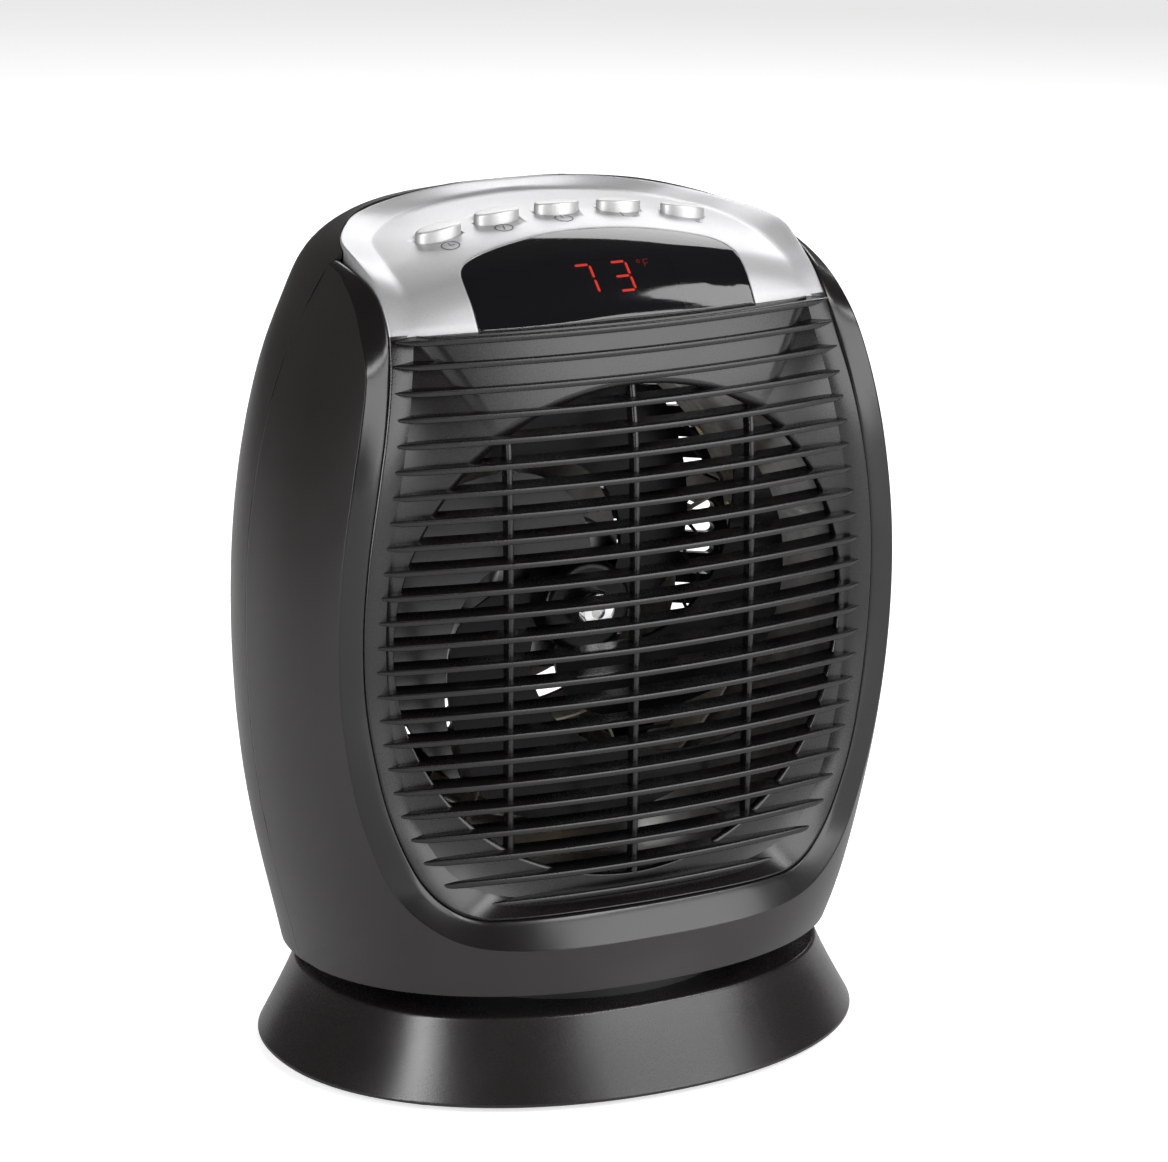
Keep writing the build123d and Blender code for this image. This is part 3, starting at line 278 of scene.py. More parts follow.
@dataclass(frozen=True)
class SilverPaint:
    """Satin metallic paint with a fine flake."""

    name: str
    colour: Triple
    roughness: float
    metal: float = 0.6
    flake: float = 0.25
    depth: float = 0.004
    cloud: float = 18.0
    tones: Pair = (0.9, 1.08)
    vary: float = 0.02

    def build(self) -> bpy.types.Material:
        """Builds the material.

        Returns:
            The material.
        """
        shader = Shader(self.name)
        flake = shader.noise(self.flake, 1.0)
        cloud = shader.noise(self.cloud, 2.0)
        return shader.set(
            Base_Color=shader.tones(flake, self.colour, self.tones),
            Metallic=self.metal,
            Roughness=shader.about(cloud, self.roughness, self.vary),
            Normal=shader.bump(flake, self.depth),
        )


@dataclass(frozen=True)
class Metal:
    """Bare or plated metal, brushed along one axis where stretch says so."""

    name: str
    colour: Triple
    roughness: float
    grain: float = 0.6
    stretch: Triple = (1, 1, 1)
    depth: float = 0.003
    stain: float = 9.0
    tones: Pair = (0.72, 1.0)
    wear: Pair = (0.8, 1.25)

    def build(self) -> bpy.types.Material:
        """Builds the material.

        Returns:
            The material.
        """
        shader = Shader(self.name)
        grain = shader.noise(self.grain, 3.0, self.stretch)
        stain = shader.noise(self.stain, 3.0)
        return shader.set(
            Base_Color=shader.tones(stain, self.colour, self.tones),
            Metallic=1.0,
            Roughness=shader.spread(grain, *(self.roughness * share for share in self.wear)),
            Normal=shader.bump(grain, self.depth),
        )


@dataclass(frozen=True)
class Mica:
    """Pressed mica sheet: pale, flaky, faintly pearly."""

    name: str
    pale: Triple
    dark: Triple
    flakes: float = 700.0
    cloud: float = 6.0
    depth: float = 0.05
    roughness: Pair = (0.3, 0.55)

    def build(self) -> bpy.types.Material:
        """Builds the material.

        Returns:
            The material.
        """
        shader = Shader(self.name)
        flake = shader.node("TexVoronoi", inputs={"Vector": shader.place, "Scale": self.flakes})
        cloud = shader.noise(self.cloud, 4.0)
        return shader.set(
            Base_Color=shader.mix(shader.spread(cloud, 0.0, 1.0), self.dark, self.pale),
            Roughness=shader.spread(flake, *self.roughness),
            Normal=shader.bump(flake, self.depth),
        )


@dataclass(frozen=True)
class CircuitBoard:
    """Glass-fibre board with a solder mask and paler tracks."""

    name: str
    mask: Triple
    track: Triple
    cells: float = 260.0
    gap: float = 0.06
    weave: float = 0.5
    depth: float = 0.03
    roughness: Pair = (0.28, 0.42)
    relief: Pair = (0.8, 0.2)

    def build(self) -> bpy.types.Material:
        """Builds the material.

        Returns:
            The material.
        """
        shader = Shader(self.name)
        cells = shader.node(
            "TexVoronoi",
            {"feature": "DISTANCE_TO_EDGE", "distance": "MANHATTAN"},
            {"Vector": shader.place, "Scale": self.cells},
        )
        weave = shader.noise(self.weave, 1.0)
        track = 1.0 - (cells > self.gap)
        return shader.set(
            Base_Color=shader.mix(track, self.mask, self.track),
            Roughness=shader.spread(weave, *self.roughness),
            Normal=shader.bump(track * self.relief[0] + weave * self.relief[1], self.depth),
        )


@dataclass(frozen=True)
class SmokedGlass:
    """Dark polished acrylic that lets a lit readout through."""

    name: str
    colour: Triple
    alpha: float
    level: float = 0.35
    dust: float = 1.2
    roughness: Pair = (0.03, 0.06)

    def build(self) -> bpy.types.Material:
        """Builds the material.

        Returns:
            The material.
        """
        shader = Shader(self.name)
        return shader.set(
            Base_Color=self.colour,
            Roughness=shader.spread(shader.noise(self.dust, 4.0), *self.roughness),
            Alpha=self.alpha,
            Specular_IOR_Level=self.level,
        )


@dataclass(frozen=True)
class Glow:
    """A lit segment behind its diffuser."""

    name: str
    colour: Triple
    strength: float
    speck: float = 0.4
    roughness: float = 0.5
    tones: Pair = (0.8, 1.0)

    def build(self) -> bpy.types.Material:
        """Builds the material.

        Returns:
            The material.
        """
        shader = Shader(self.name)
        return shader.set(
            Base_Color=self.colour,
            Roughness=self.roughness,
            Emission_Color=shader.tones(shader.noise(self.speck), self.colour, self.tones),
            Emission_Strength=self.strength,
        )


@dataclass(frozen=True)
class Palette:
    """Every finish of the heater. Those of the record's slots bear the slots' names."""

    shell_plastic: MouldedPlastic = MouldedPlastic("shell_satin", (0.013, 0.0118, 0.0112), 0.34)
    bezel: MouldedPlastic = MouldedPlastic("bezel_satin", (0.0045, 0.004, 0.0038), 0.22)
    base: MouldedPlastic = MouldedPlastic("base_satin", (0.009, 0.0079, 0.0075), 0.27)
    dark_plastic: MouldedPlastic = MouldedPlastic("ring_matt", (0.012, 0.012, 0.012), 0.55)
    grille_plastic: MouldedPlastic = MouldedPlastic("grille_satin", (0.0055, 0.005, 0.0047), 0.27)
    panel_silver: SilverPaint = SilverPaint("silver_paint", (0.47, 0.47, 0.48), 0.46)
    cap: SilverPaint = SilverPaint("button_paint", (0.56, 0.56, 0.56), 0.46)
    ink: MouldedPlastic = MouldedPlastic("printed_ink", (0.09, 0.09, 0.09), 0.5, 0.2, 0.002)
    smoked_window: SmokedGlass = SmokedGlass("smoked_acrylic", (0.004, 0.004, 0.005), 0.9)
    display_black: MouldedPlastic = MouldedPlastic("display_black", (0.006, 0.006, 0.006), 0.5)
    lit_digits: Glow = Glow("lit_red", (1.0, 0.06, 0.035), 7.0)
    dim: Glow = Glow("dim_red", (1.0, 0.06, 0.035), 0.9)
    circuit_board: CircuitBoard = CircuitBoard("circuit_board", (0.02, 0.09, 0.035), (0.09, 0.2, 0.08))
    duct_plate: Metal = Metal("duct_plate", (0.72, 0.72, 0.7), 0.34, 1.2, (1, 0.05, 1))
    motor_steel: Metal = Metal("motor_steel", (0.42, 0.42, 0.43), 0.38)
    mica: Mica = Mica("pressed_mica", (0.62, 0.58, 0.5), (0.38, 0.34, 0.28))
    heating_wire: Metal = Metal("oxidised_wire", (0.11, 0.1, 0.1), 0.45, 0.3)
    brass: Metal = Metal("brass", (0.8, 0.6, 0.3), 0.28)
    fan_plastic: MouldedPlastic = MouldedPlastic("fan_gloss", (0.003, 0.003, 0.003), 0.2, 0.8, level=0.22)
    chrome: Metal = Metal("chrome", (0.85, 0.85, 0.86), 0.08, 0.8, depth=0.001)
    steel: Metal = Metal("zinc_steel", (0.6, 0.6, 0.6), 0.3)
    white_plastic: MouldedPlastic = MouldedPlastic("white_nylon", (0.7, 0.69, 0.66), 0.45)
    rubber: MouldedPlastic = MouldedPlastic("rubber", (0.02, 0.02, 0.02), 0.8, 0.6, 0.03)


def slope(rows: Sequence[Sequence[float]], k: int, column: int) -> float:
    """Slope of a table's column at one row."""
    low, high = max(k - 1, 0), min(k + 1, len(rows) - 1)
    return (rows[high][column] - rows[low][column]) / (rows[high][0] - rows[low][0])


def hermite(rows: Sequence[Sequence[float]], at: float) -> tuple[float, ...]:
    """Reads a table smoothly.

    Args:
        rows: Rows in rising order of their first column.
        at: The value of the first column that is wanted.

    Returns:
        The other columns there.
    """
    at = min(max(at, rows[0][0]), rows[-1][0])
    i = next(k for k in range(len(rows) - 1) if at <= rows[k + 1][0])
    span = rows[i + 1][0] - rows[i][0]
    t = (at - rows[i][0]) / span
    result = []
    for column in range(1, len(rows[0])):
        start, end = rows[i][column], rows[i + 1][column]
        m0, m1 = slope(rows, i, column) * span, slope(rows, i + 1, column) * span
        result.append(
            (2 * t**3 - 3 * t**2 + 1) * start
            + (t**3 - 2 * t**2 + t) * m0
            + (3 * t**2 - 2 * t**3) * end
            + (t**3 - t**2) * m1
        )
    return tuple(result)


def mirrored(half: Sequence[Vector]) -> list[Vector]:
    """Completes a line that runs from the right side to the middle."""
    return list(half) + [Vector((-p.x, p.y, p.z)) for p in reversed(half[:-1])]


def add(name: str, data: bpy.types.ID) -> Piece:
    """Puts an object in the scene.

    Args:
        name: The object's name.
        data: Its mesh, lamp or camera.

    Returns:
        The object.
    """
    made = bpy.data.objects.new(name, data)
    bpy.context.scene.collection.objects.link(made)
    return made


def grid(
    name: str,
    rows: Sequence[Sequence[Vector]],
    closed: bool = False,
    flip: bool = False,
) -> Piece:
    """Skins a grid of points given in millimetres.

    Args:
        name: The object's name.
        rows: Equally long rows of points.
        closed: Whether the last row joins the first.
        flip: Whether the faces look the other way.

    Returns:
        The object, smooth shaded.
    """
    wide = len(rows[0])
    verts = [p * MM for row in rows for p in row]
    faces = []
    for i in range(len(rows) if closed else len(rows) - 1):
        j = (i + 1) % len(rows)
        for k in range(wide - 1):
            quad = (i * wide + k, i * wide + k + 1, j * wide + k + 1, j * wide + k)
            faces.append(tuple(reversed(quad)) if flip else quad)
    mesh = bpy.data.meshes.new(name)
    mesh.from_pydata(verts, [], faces)
    mesh.polygons.foreach_set("use_smooth", [True] * len(faces))
    return add(name, mesh)


def join(name: str, parts: Sequence[Piece]) -> Piece:
    """Joins objects into one mesh.

    Args:
        name: The joined object's name.
        parts: The objects, which are used up.

    Returns:
        The joined object.
    """
    work = bmesh.new()
    for part in parts:
        work.from_mesh(part.data)
        bpy.data.objects.remove(part)
    mesh = bpy.data.meshes.new(name)
    work.to_mesh(mesh)
    work.free()
    return add(name, mesh)


def seal(piece: Piece, weld: float = 0.0) -> None:
    """Closes a piece's open ends and turns its faces outwards.

    Args:
        piece: The piece.
        weld: The distance in metres within which points merge, or 0 to merge none.
    """
    work = bmesh.new()
    work.from_mesh(piece.data)
    if weld:
        bmesh.ops.remove_doubles(work, verts=work.verts, dist=weld)
    bmesh.ops.holes_fill(work, edges=[e for e in work.edges if e.is_boundary], sides=0)
    bmesh.ops.recalc_face_normals(work, faces=work.faces)
    work.to_mesh(piece.data)
    work.free()


class Dresser:
    """Gives CAD nodes and scene pieces their finishes."""

    BASE_NODE = "base_shell"

    def __init__(self, palette: Palette) -> None:
        """Keeps the palette."""
        self.palette = palette
        self.built: dict[str, bpy.types.Material] = {}

    def material(self, finish: str) -> bpy.types.Material:
        """Builds a finish the first time it is asked for.

        Args:
            finish: The palette's field name.

        Returns:
            The material.
        """
        if finish not in self.built:
            self.built[finish] = getattr(self.palette, finish).build()
        return self.built[finish]

    def nodes(self, frame: dict) -> None:
        """Finishes every CAD node by the record's material slot.

        Args:
            frame: The loaded frame.
        """
        slots = {part["node"]: part["material_slot"] for part in frame["record"]["subparts"]}
        for name, node in frame["nodes"].items():
            made = self.material("base" if name == self.BASE_NODE else slots[name])
            for holder in node.material_slots:
                holder.material = made
            log.info("%s: %s", node.name, made.name)

    def piece(self, piece: Piece, body: Body, slot: Slot, *nodes: str, finishes: Sequence[str] = ()) -> None:
        """Finishes a scene piece and ties it to the frame.

        Args:
            piece: The piece.
            body: The body it rides on.
            slot: The record's slot it is finished by.
            nodes: The CAD nodes it stands for.
            finishes: The palette's fields that it has instead of the slot's own.
        """
        for finish in finishes or (slot.value,):
            piece.data.materials.append(self.material(finish))
        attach(piece, body.value)
        if nodes:
            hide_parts(*nodes)
        log.info("%s rides on %s", piece.name, body.value)


def along(rows: Sequence[Sequence[float]], count: int) -> list[tuple[float, ...]]:
    """Divides a line evenly by the length of its first two columns.

    Args:
        rows: The line's points.
        count: The number of points that are wanted.

    Returns:
        The points, read smoothly.
    """
    table = [(0.0, *rows[0])]
    for last, row in zip(rows, rows[1:]):
        table.append((table[-1][0] + math.hypot(row[0] - last[0], row[1] - last[1]), *row))
    return [hermite(table, table[-1][0] * i / (count - 1)) for i in range(count)]


@dataclass(frozen=True)
class FrontLines:
    """The lines that the front is drawn by, right half, from the top down.

    The outer edge lies on the side wall, so it has X and Z. The inner edge is where
    the moulding meets the grille, and the plate edge where the grille's sloping
    border meets its plate. Both have X, Y and Z. The first rows of the face, as many
    as side_rows says, are those beside the louvres.
    """

    side_rows: int = 12
    shoulder: tuple[tuple[float, ...], ...] = (
        (80.2, 266.2, 77.1, 0.0, 267.8),
        (82.0, 262.5, 77.1, -18.5, 265.1),
        (83.6, 258.0, 77.2, -30.5, 260.3),
    )
    face: tuple[tuple[float, ...], ...] = (
        (85.8, 250.0, 77.8, -40.0, 250.0, 69.7, -41.0, 250.0),
        (88.0, 238.0, 79.5, -44.7, 238.0, 71.8, -44.4, 238.0),
        (91.6, 222.0, 82.9, -49.0, 222.0, 75.0, -48.1, 222.0),
        (94.8, 206.0, 86.1, -50.7, 206.0, 78.2, -49.5, 206.0),
        (98.4, 182.0, 89.8, -50.5, 182.0, 82.2, -49.6, 182.0),
        (99.9, 158.0, 91.4, -49.5, 158.0, 83.8, -48.9, 158.0),
        (99.2, 134.0, 90.5, -48.9, 134.0, 82.6, -47.9, 134.0),
        (95.9, 110.0, 86.8, -49.9, 110.0, 79.0, -48.6, 110.0),
        (92.1, 94.0, 82.6, -51.0, 94.0, 74.3, -49.7, 94.0),
        (86.3, 78.0, 75.8, -52.5, 78.0, 66.2, -52.2, 79.4),
        (81.6, 69.4, 70.2, -54.3, 70.0, 60.5, -53.8, 73.6),
        (75.0, 62.2, 64.0, -56.8, 64.9, 54.0, -54.6, 69.8),
        (67.0, 56.6, 56.5, -59.7, 62.0, 46.5, -55.4, 67.1),
        (57.5, 53.2, 48.5, -62.2, 61.4, 39.0, -55.8, 65.7),
        (42.0, 51.5, 35.5, -64.9, 61.4, 28.0, -56.2, 65.2),
        (21.0, 51.1, 17.5, -66.8, 61.6, 13.7, -56.6, 65.1),
        (0.0, 51.1, 0.0, -67.4, 61.6, 0.0, -56.7, 65.1),
    )

    def band(self, count: int) -> list[tuple[float, ...]]:
        """Reads the band's two edges."""
        return along([*self.shoulder, *(row[:5] for row in self.face)], count)

    def border(self, count: int) -> list[tuple[Vector, Vector]]:
        """Reads the border's two edges."""
        return [(Vector(row[2:5]), Vector(row[5:8])) for row in along(self.face, count)]

    def half_at(self, z: float) -> float:
        """The inner edge's half width."""
        rows = sorted((row[4], row[2]) for row in self.face[: self.side_rows])
        return hermite(rows, z)[0]


@dataclass(frozen=True)
class FrontCase:
    """The front moulding: lip, dark bezel band, crisp edge and side wall."""

    lines: FrontLines = FrontLines()
    columns: int = 170
    bottom: float = 35.9
    turn: float = 69.4
    seam_gap: float = 0.2
    seam_round: float = 0.35
    wall: float = 2.4
    crown: float = 0.5
    band_shares: tuple[float, ...] = (0.2, 0.45, 0.7, 0.88)
    edge_in: float = 0.5
    edge_rise: float = 0.05
    near_band: tuple[float, ...] = (0.004, 0.014, 0.035, 0.07)
    wall_lines: int = 20
    wall_from: float = 0.1
    wall_step: float = 0.045
    near_seam: float = 0.992
    lip: tuple[Pair, ...] = (
        (0.25, -6.0), (0.25, -2.0), (0.1, -0.9), (-0.3, -0.25),
        (-1.0, 0.0),
    )
    body: tuple[tuple[float, ...], ...] = (
        (35.9, 94.0, 72.0, 2.16),
        (45.0, 96.2, 71.6, 2.34),
        (56.0, 99.0, 72.0, 2.46),
        (75.0, 103.5, 74.3, 2.5),
        (100.0, 107.9, 79.0, 2.5),
        (125.0, 110.3, 83.6, 2.5),
        (150.0, 111.0, 87.0, 2.5),
        (175.0, 110.0, 88.4, 2.5),
        (200.0, 106.7, 88.3, 2.5),
        (220.0, 102.0, 87.9, 2.5),
        (238.0, 95.7, 87.6, 2.5),
        (252.0, 88.9, 87.3, 2.5),
        (266.2, 80.2, 87.0, 2.5),
    )

    def barrel(self, z: float, angle: float, inset: float = 0.0) -> Vector:
        """A point of the side wall.

        Args:
            z: The height.
            angle: 0 at the right seam and a quarter turn at the front, in radians.
            inset: How far the point lies inside the wall.

        Returns:
            The point.
        """
        half, reach, power = hermite(self.body, z)
        across = (half - inset) * abs(math.cos(angle)) ** (2 / power)
        return Vector((across, -(reach - inset) * abs(math.sin(angle)) ** (2 / power), z))

    def angle_at(self, x: float, z: float) -> float:
        """The wall's angle at a half width."""
        half, _, power = hermite(self.body, z)
        return math.acos(min(max(x, 0.0) / half, 1.0) ** (power / 2))

    def ends(self, path: Sequence[Sequence[float]]) -> list[tuple[float, ...]]:
        """Where each line down the wall starts and ends.

        Args:
            path: The band's edges.

        Returns:
            Height and angle at the band, then height and angle at the seam or rim.
        """
        top = path[0][1]
        turn_x = next(row[0] for row in path if row[1] <= self.turn)
        found = []
        for x, z, *_ in path:
            angle = self.angle_at(x, z)
            if z > self.turn:
                share = (z - self.turn) / (top - self.turn)
                found.append((z, angle, self.bottom + share * (top - self.bottom), 0.0))
            else:
                rim = self.body[0][1] * max(x, 0.0) / turn_x
                found.append((z, angle, self.bottom, self.angle_at(rim, self.bottom)))
        return found

    def band(self, path: Sequence[Sequence[float]]) -> list[list[Vector]]:
        """The lines from the inner lip across the band to the crisp edge.

        Args:
            path: The band's edges.

        Returns:
            The lines, from the inside out.
        """
        rims = [Vector((max(ix, 0.0), iy, iz)) for _, _, ix, iy, iz in path]
        lines: list[list[Vector]] = [[] for _ in range(len(self.lip) + len(self.band_shares) + 2)]
        for i, (x, z, *_) in enumerate(path):
            rim, edge = rims[i], self.barrel(z, self.angle_at(x, z))
            across = (rim - edge).normalized()
            ahead = rims[min(i + 1, len(rims) - 1)] - rims[max(i - 1, 0)]
            out = across.cross(ahead).normalized()
            for k, (inward, height) in enumerate(self.lip):
                lines[k].append(rim + across * inward + out * height)
            start = rim + across * self.lip[-1][0]
            for k, share in enumerate(self.band_shares):
                rise = self.crown * share * (1 - share)
                lines[len(self.lip) + k].append(start.lerp(edge, share) + out * rise)
            lines[-2].append(edge + across * self.edge_in + out * self.edge_rise)
            lines[-1].append(edge)
        return lines

    def build(self) -> Piece:
        """Builds the moulding.

        Returns:
            The object, with the band's faces in a second material slot.
        """
        path = self.lines.band(self.columns)
        ends = self.ends(path)
        lines = self.band(path)
        banded = len(lines) - 1
        evenly = [self.wall_from + self.wall_step * k for k in range(self.wall_lines)]
        for v in (*self.near_band, *evenly, self.near_seam):
            lines.append([self.barrel(z0 + v * (z1 - z0), a0 + v * (a1 - a0)) for z0, a0, z1, a1 in ends])
        for inset in (0.0, self.seam_round, self.wall):
            lines.append([self.barrel(z, angle, inset) for _, _, z, angle in ends])
            for point in lines[-1]:
                point.y = min(point.y, -self.seam_gap)
        for line in lines:
            line[-1].x = 0.0
        made = grid("front_case", [mirrored(line) for line in lines])
        wide = 2 * self.columns - 2
        for face in made.data.polygons:
            face.material_index = int(face.index // wide < banded)
        return made

    def dress(self, dresser: Dresser) -> None:
        """Builds and finishes the moulding."""
        finishes = ("shell_plastic", "bezel")
        dresser.piece(self.build(), Body.HEATER, Slot.SHELL, "front_housing", finishes=finishes)


@dataclass(frozen=True)
class Grille:
    """The louvred front: sloping border, bowed plate, ribs and louvres."""

    lines: FrontLines = FrontLines()
    columns: int = 110
    centre: float = 149.7
    opening: float = 80.8
    first: float = 250.0
    under_panel: float = 249.3
    pitch: float = 8.0
    louvres: int = 24
    bow: float = 612.0
    plate_set: float = 4.0
    top_set: float = 1.6
    bulge_from: float = 205.0
    bulge_over: float = 35.0
    border_crown: float = 0.4
    border_shares: tuple[float, ...] = (0.03, 0.09, 0.25, 0.45, 0.65, 0.85, 1.0)
    tuck_out: float = 0.1
    tuck_back: float = 2.5
    top_step: int = 4
    rings: int = 10
    plate_thick: float = 2.5
    point: float = 7.0
    rib_at: tuple[float, ...] = (-43.2, 0.0, 43.2)
    rib_half: float = 1.0
    rib_deep: float = 4.0
    rib_round: float = 0.35
    rib_bite: float = 0.6
    rib_steps: int = 20
    steps: int = 24
    tip_back: float = 1.3
    tip_height: float = 0.12
    tip_power: float = 0.7
    core: float = 0.5
    fronts: tuple[Pair, ...] = (
        (60.0, -61.4), (122.0, -62.0), (162.0, -62.5), (202.0, -61.8),
        (218.0, -60.6), (242.0, -56.0), (256.0, -52.6),
    )
    insets: tuple[Pair, ...] = (
        (66.0, 6.5), (74.0, 2.7), (90.0, 2.1), (150.0, 2.7),
        (202.0, 2.5), (242.0, 0.8),
    )
    section: tuple[Pair, ...] = (
        (0.0, -0.62), (0.06, -0.3), (0.24, -0.09), (0.55, 0.0),
        (7.5, 0.7), (7.5, -0.8), (0.6, -2.05), (0.2, -1.95),
        (0.0, -1.65),
    )

    def front(self, x: float, z: float) -> float:
        """Depth of the louvre fronts."""
        return hermite(self.fronts, z)[0] + x**2 / self.bow

    def set_back(self, z: float) -> float:
        """How far the plate lies behind the louvre fronts."""
        t = min(max((z - self.bulge_from) / self.bulge_over, 0.0), 1.0)
        return self.plate_set + (self.top_set - self.plate_set) * t * t * (3 - 2 * t)

    def plate(self, edge: Vector, share: float) -> Vector:
        """A point of the plate between its edge and the opening.

        Args:
            edge: The point of the plate's edge.
            share: 0 at that edge and 1 at the opening.

        Returns:
            The point.
        """
        rim = Vector((edge.x, 0.0, edge.z - self.centre)).normalized() * self.opening
        x = edge.x + (rim.x - edge.x) * share
        z = edge.z + (rim.z + self.centre - edge.z) * share
        offset = edge.y - self.front(edge.x, edge.z) - self.set_back(edge.z)
        return Vector((x, self.front(x, z) + self.set_back(z) + offset * (1 - share) ** 2, z))

    def outward(self, pairs: Sequence[tuple[Vector, Vector]], k: int) -> Vector:
        """The border's normal.

        Args:
            pairs: Inner and plate edge points.
            k: The pair's number.

        Returns:
            A unit vector that points out of the heater.
        """
        ahead = pairs[min(k + 1, len(pairs) - 1)][0] - pairs[max(k - 1, 0)][0]
        normal = (pairs[k][1] - pairs[k][0]).cross(ahead).normalized()
        return normal if normal.y < 0 else -normal

    def frame(self) -> Piece:
        """Builds the border and the bowed plate.

        Returns:
            The object.
        """
        pairs = self.lines.border(self.columns)
        pairs[-1][0].x = pairs[-1][1].x = 0.0
        tuck = Vector((0, self.tuck_back, 0))
        rows = [[o + (o - i).normalized() * self.tuck_out + tuck for o, i in pairs]]
        for share in self.border_shares:
            rise = 4 * self.border_crown * share * (1 - share)
            rows.append([o.lerp(i, share) + self.outward(pairs, k) * rise for k, (o, i) in enumerate(pairs)])
        for row in rows:
            row[-1].x = 0.0
        border = grid("border", [mirrored(row) for row in rows], flip=True)
        corner, top = pairs[0][1].x, pairs[0][1].z
        across = range(0, int(corner), self.top_step)
        loop = [Vector((x, self.front(x, top) + self.set_back(top), top)) for x in across]
        loop += [i for _, i in pairs]
        rings = [[self.plate(point, k / self.rings) for point in loop] for k in range(self.rings + 1)]
        rings.append([p + Vector((0, self.plate_thick, 0)) for p in rings[-1]])
        whole = []
        for ring in rings:
            ring[-1].x = 0.0
            whole.append([*ring, *(Vector((-p.x, p.y, p.z)) for p in reversed(ring[1:-1])), ring[0]])
        return join("grille_frame", [border, grid("plate", whole, flip=True)])

    def louvre(self, index: int) -> Piece:
        """Builds one louvre with pointed ends.

        Args:
            index: Its number from the top.

        Returns:
            The object.
        """
        z = self.first - self.pitch * index if index else self.under_panel
        half = self.lines.half_at(z) - hermite(self.insets, z)[0]
        rows: list[list[Vector]] = [[] for _ in self.section]
        for step in range(-self.steps, self.steps + 1):
            x = half * math.sin(math.pi / 2 * step / self.steps)
            fine = min(1.0, (half - abs(x)) / self.point)
            squeeze = self.tip_height + (1 - self.tip_height) * fine**self.tip_power
            for k, (back, rise) in enumerate(self.section):
                y = self.front(x, z) + back + self.tip_back * (1 - fine) ** 2
                rows[k].append(Vector((x, y, z + (rise + self.core) * squeeze - self.core)))
        return grid(f"louvre_{index}", rows, closed=True)

    def rib(self, at: float) -> Piece:
        """Builds one upright rib.

        Args:
            at: Its place across.

        Returns:
            The object.
        """
        reach = math.sqrt(self.opening**2 - at**2) + self.rib_bite
        half, soft = self.rib_half, self.rib_round
        side = ((half, self.rib_deep), (half, soft), (half - soft, 0.0))
        heights = [self.centre + reach * (k / self.rib_steps - 1) for k in range(2 * self.rib_steps + 1)]
        rows = []
        for dx, dy in (*((-x, y) for x, y in side), *reversed(side)):
            rows.append([Vector((at + dx, self.front(at, z) + self.plate_set + dy, z)) for z in heights])
        return grid(f"rib_{at:.0f}", rows, flip=True)

    def dress(self, dresser: Dresser) -> None:
        """Builds and finishes the frame, the ribs and the louvres.

        Args:
            dresser: Where its finishes come from.
        """
        dresser.piece(self.frame(), Body.HEATER, Slot.GRILLE, "front_grille")
        ribs = join("grille_ribs", [self.rib(at) for at in self.rib_at])
        dresser.piece(ribs, Body.HEATER, Slot.GRILLE)
        louvres = join("grille_louvres", [self.louvre(i) for i in range(self.louvres)])
        dresser.piece(louvres, Body.HEATER, Slot.GRILLE)


@dataclass(frozen=True)
class TopShape:
    """The crowned surfaces of the panel: its raised crest and its sunken field."""

    axis: float = 2.0
    low: float = 249.8
    edge_range: Pair = (-51.0, -36.0)
    halvings: int = 24
    crest: tuple[Pair, ...] = (
        (-50.0, 240.0), (-46.5, 249.0), (-43.6, 255.5), (-39.8, 261.4),
        (-37.1, 265.3), (-33.5, 269.2), (-28.4, 273.0), (-22.2, 276.8),
        (-14.3, 280.2), (-5.0, 281.6), (10.0, 282.0), (44.0, 282.0),
    )
    field: tuple[Pair, ...] = (
        (-51.0, 240.0), (-49.6, 246.0), (-48.0, 249.8), (-45.4, 253.8),
        (-40.3, 261.5), (-36.5, 265.5), (-31.0, 269.4), (-18.0, 273.8),
        (-6.6, 275.9), (5.2, 277.1), (15.7, 277.6), (44.0, 277.6),
    )

    def height(self, x: float, y: float, crest: bool = False) -> float:
        """Height of a surface."""
        rise = hermite(self.crest if crest else self.field, y)[0] - self.axis
        return self.axis + math.sqrt(rise**2 - x**2)

    def on(self, x: float, y: float, lift: float = 0.0) -> Vector:
        """A point on the field."""
        return Vector((x, y, self.height(x, y) + lift))

    def edge_y(self, x: float) -> float:
        """Depth at which the field reaches the panel's lower edge, by halving.

        Args:
            x: Place across.

        Returns:
            The depth.
        """
        near, far = self.edge_range
        for _ in range(self.halvings):
            middle = (near + far) / 2
            if self.height(x, middle) < self.low:
                near = middle
            else:
                far = middle
        return near


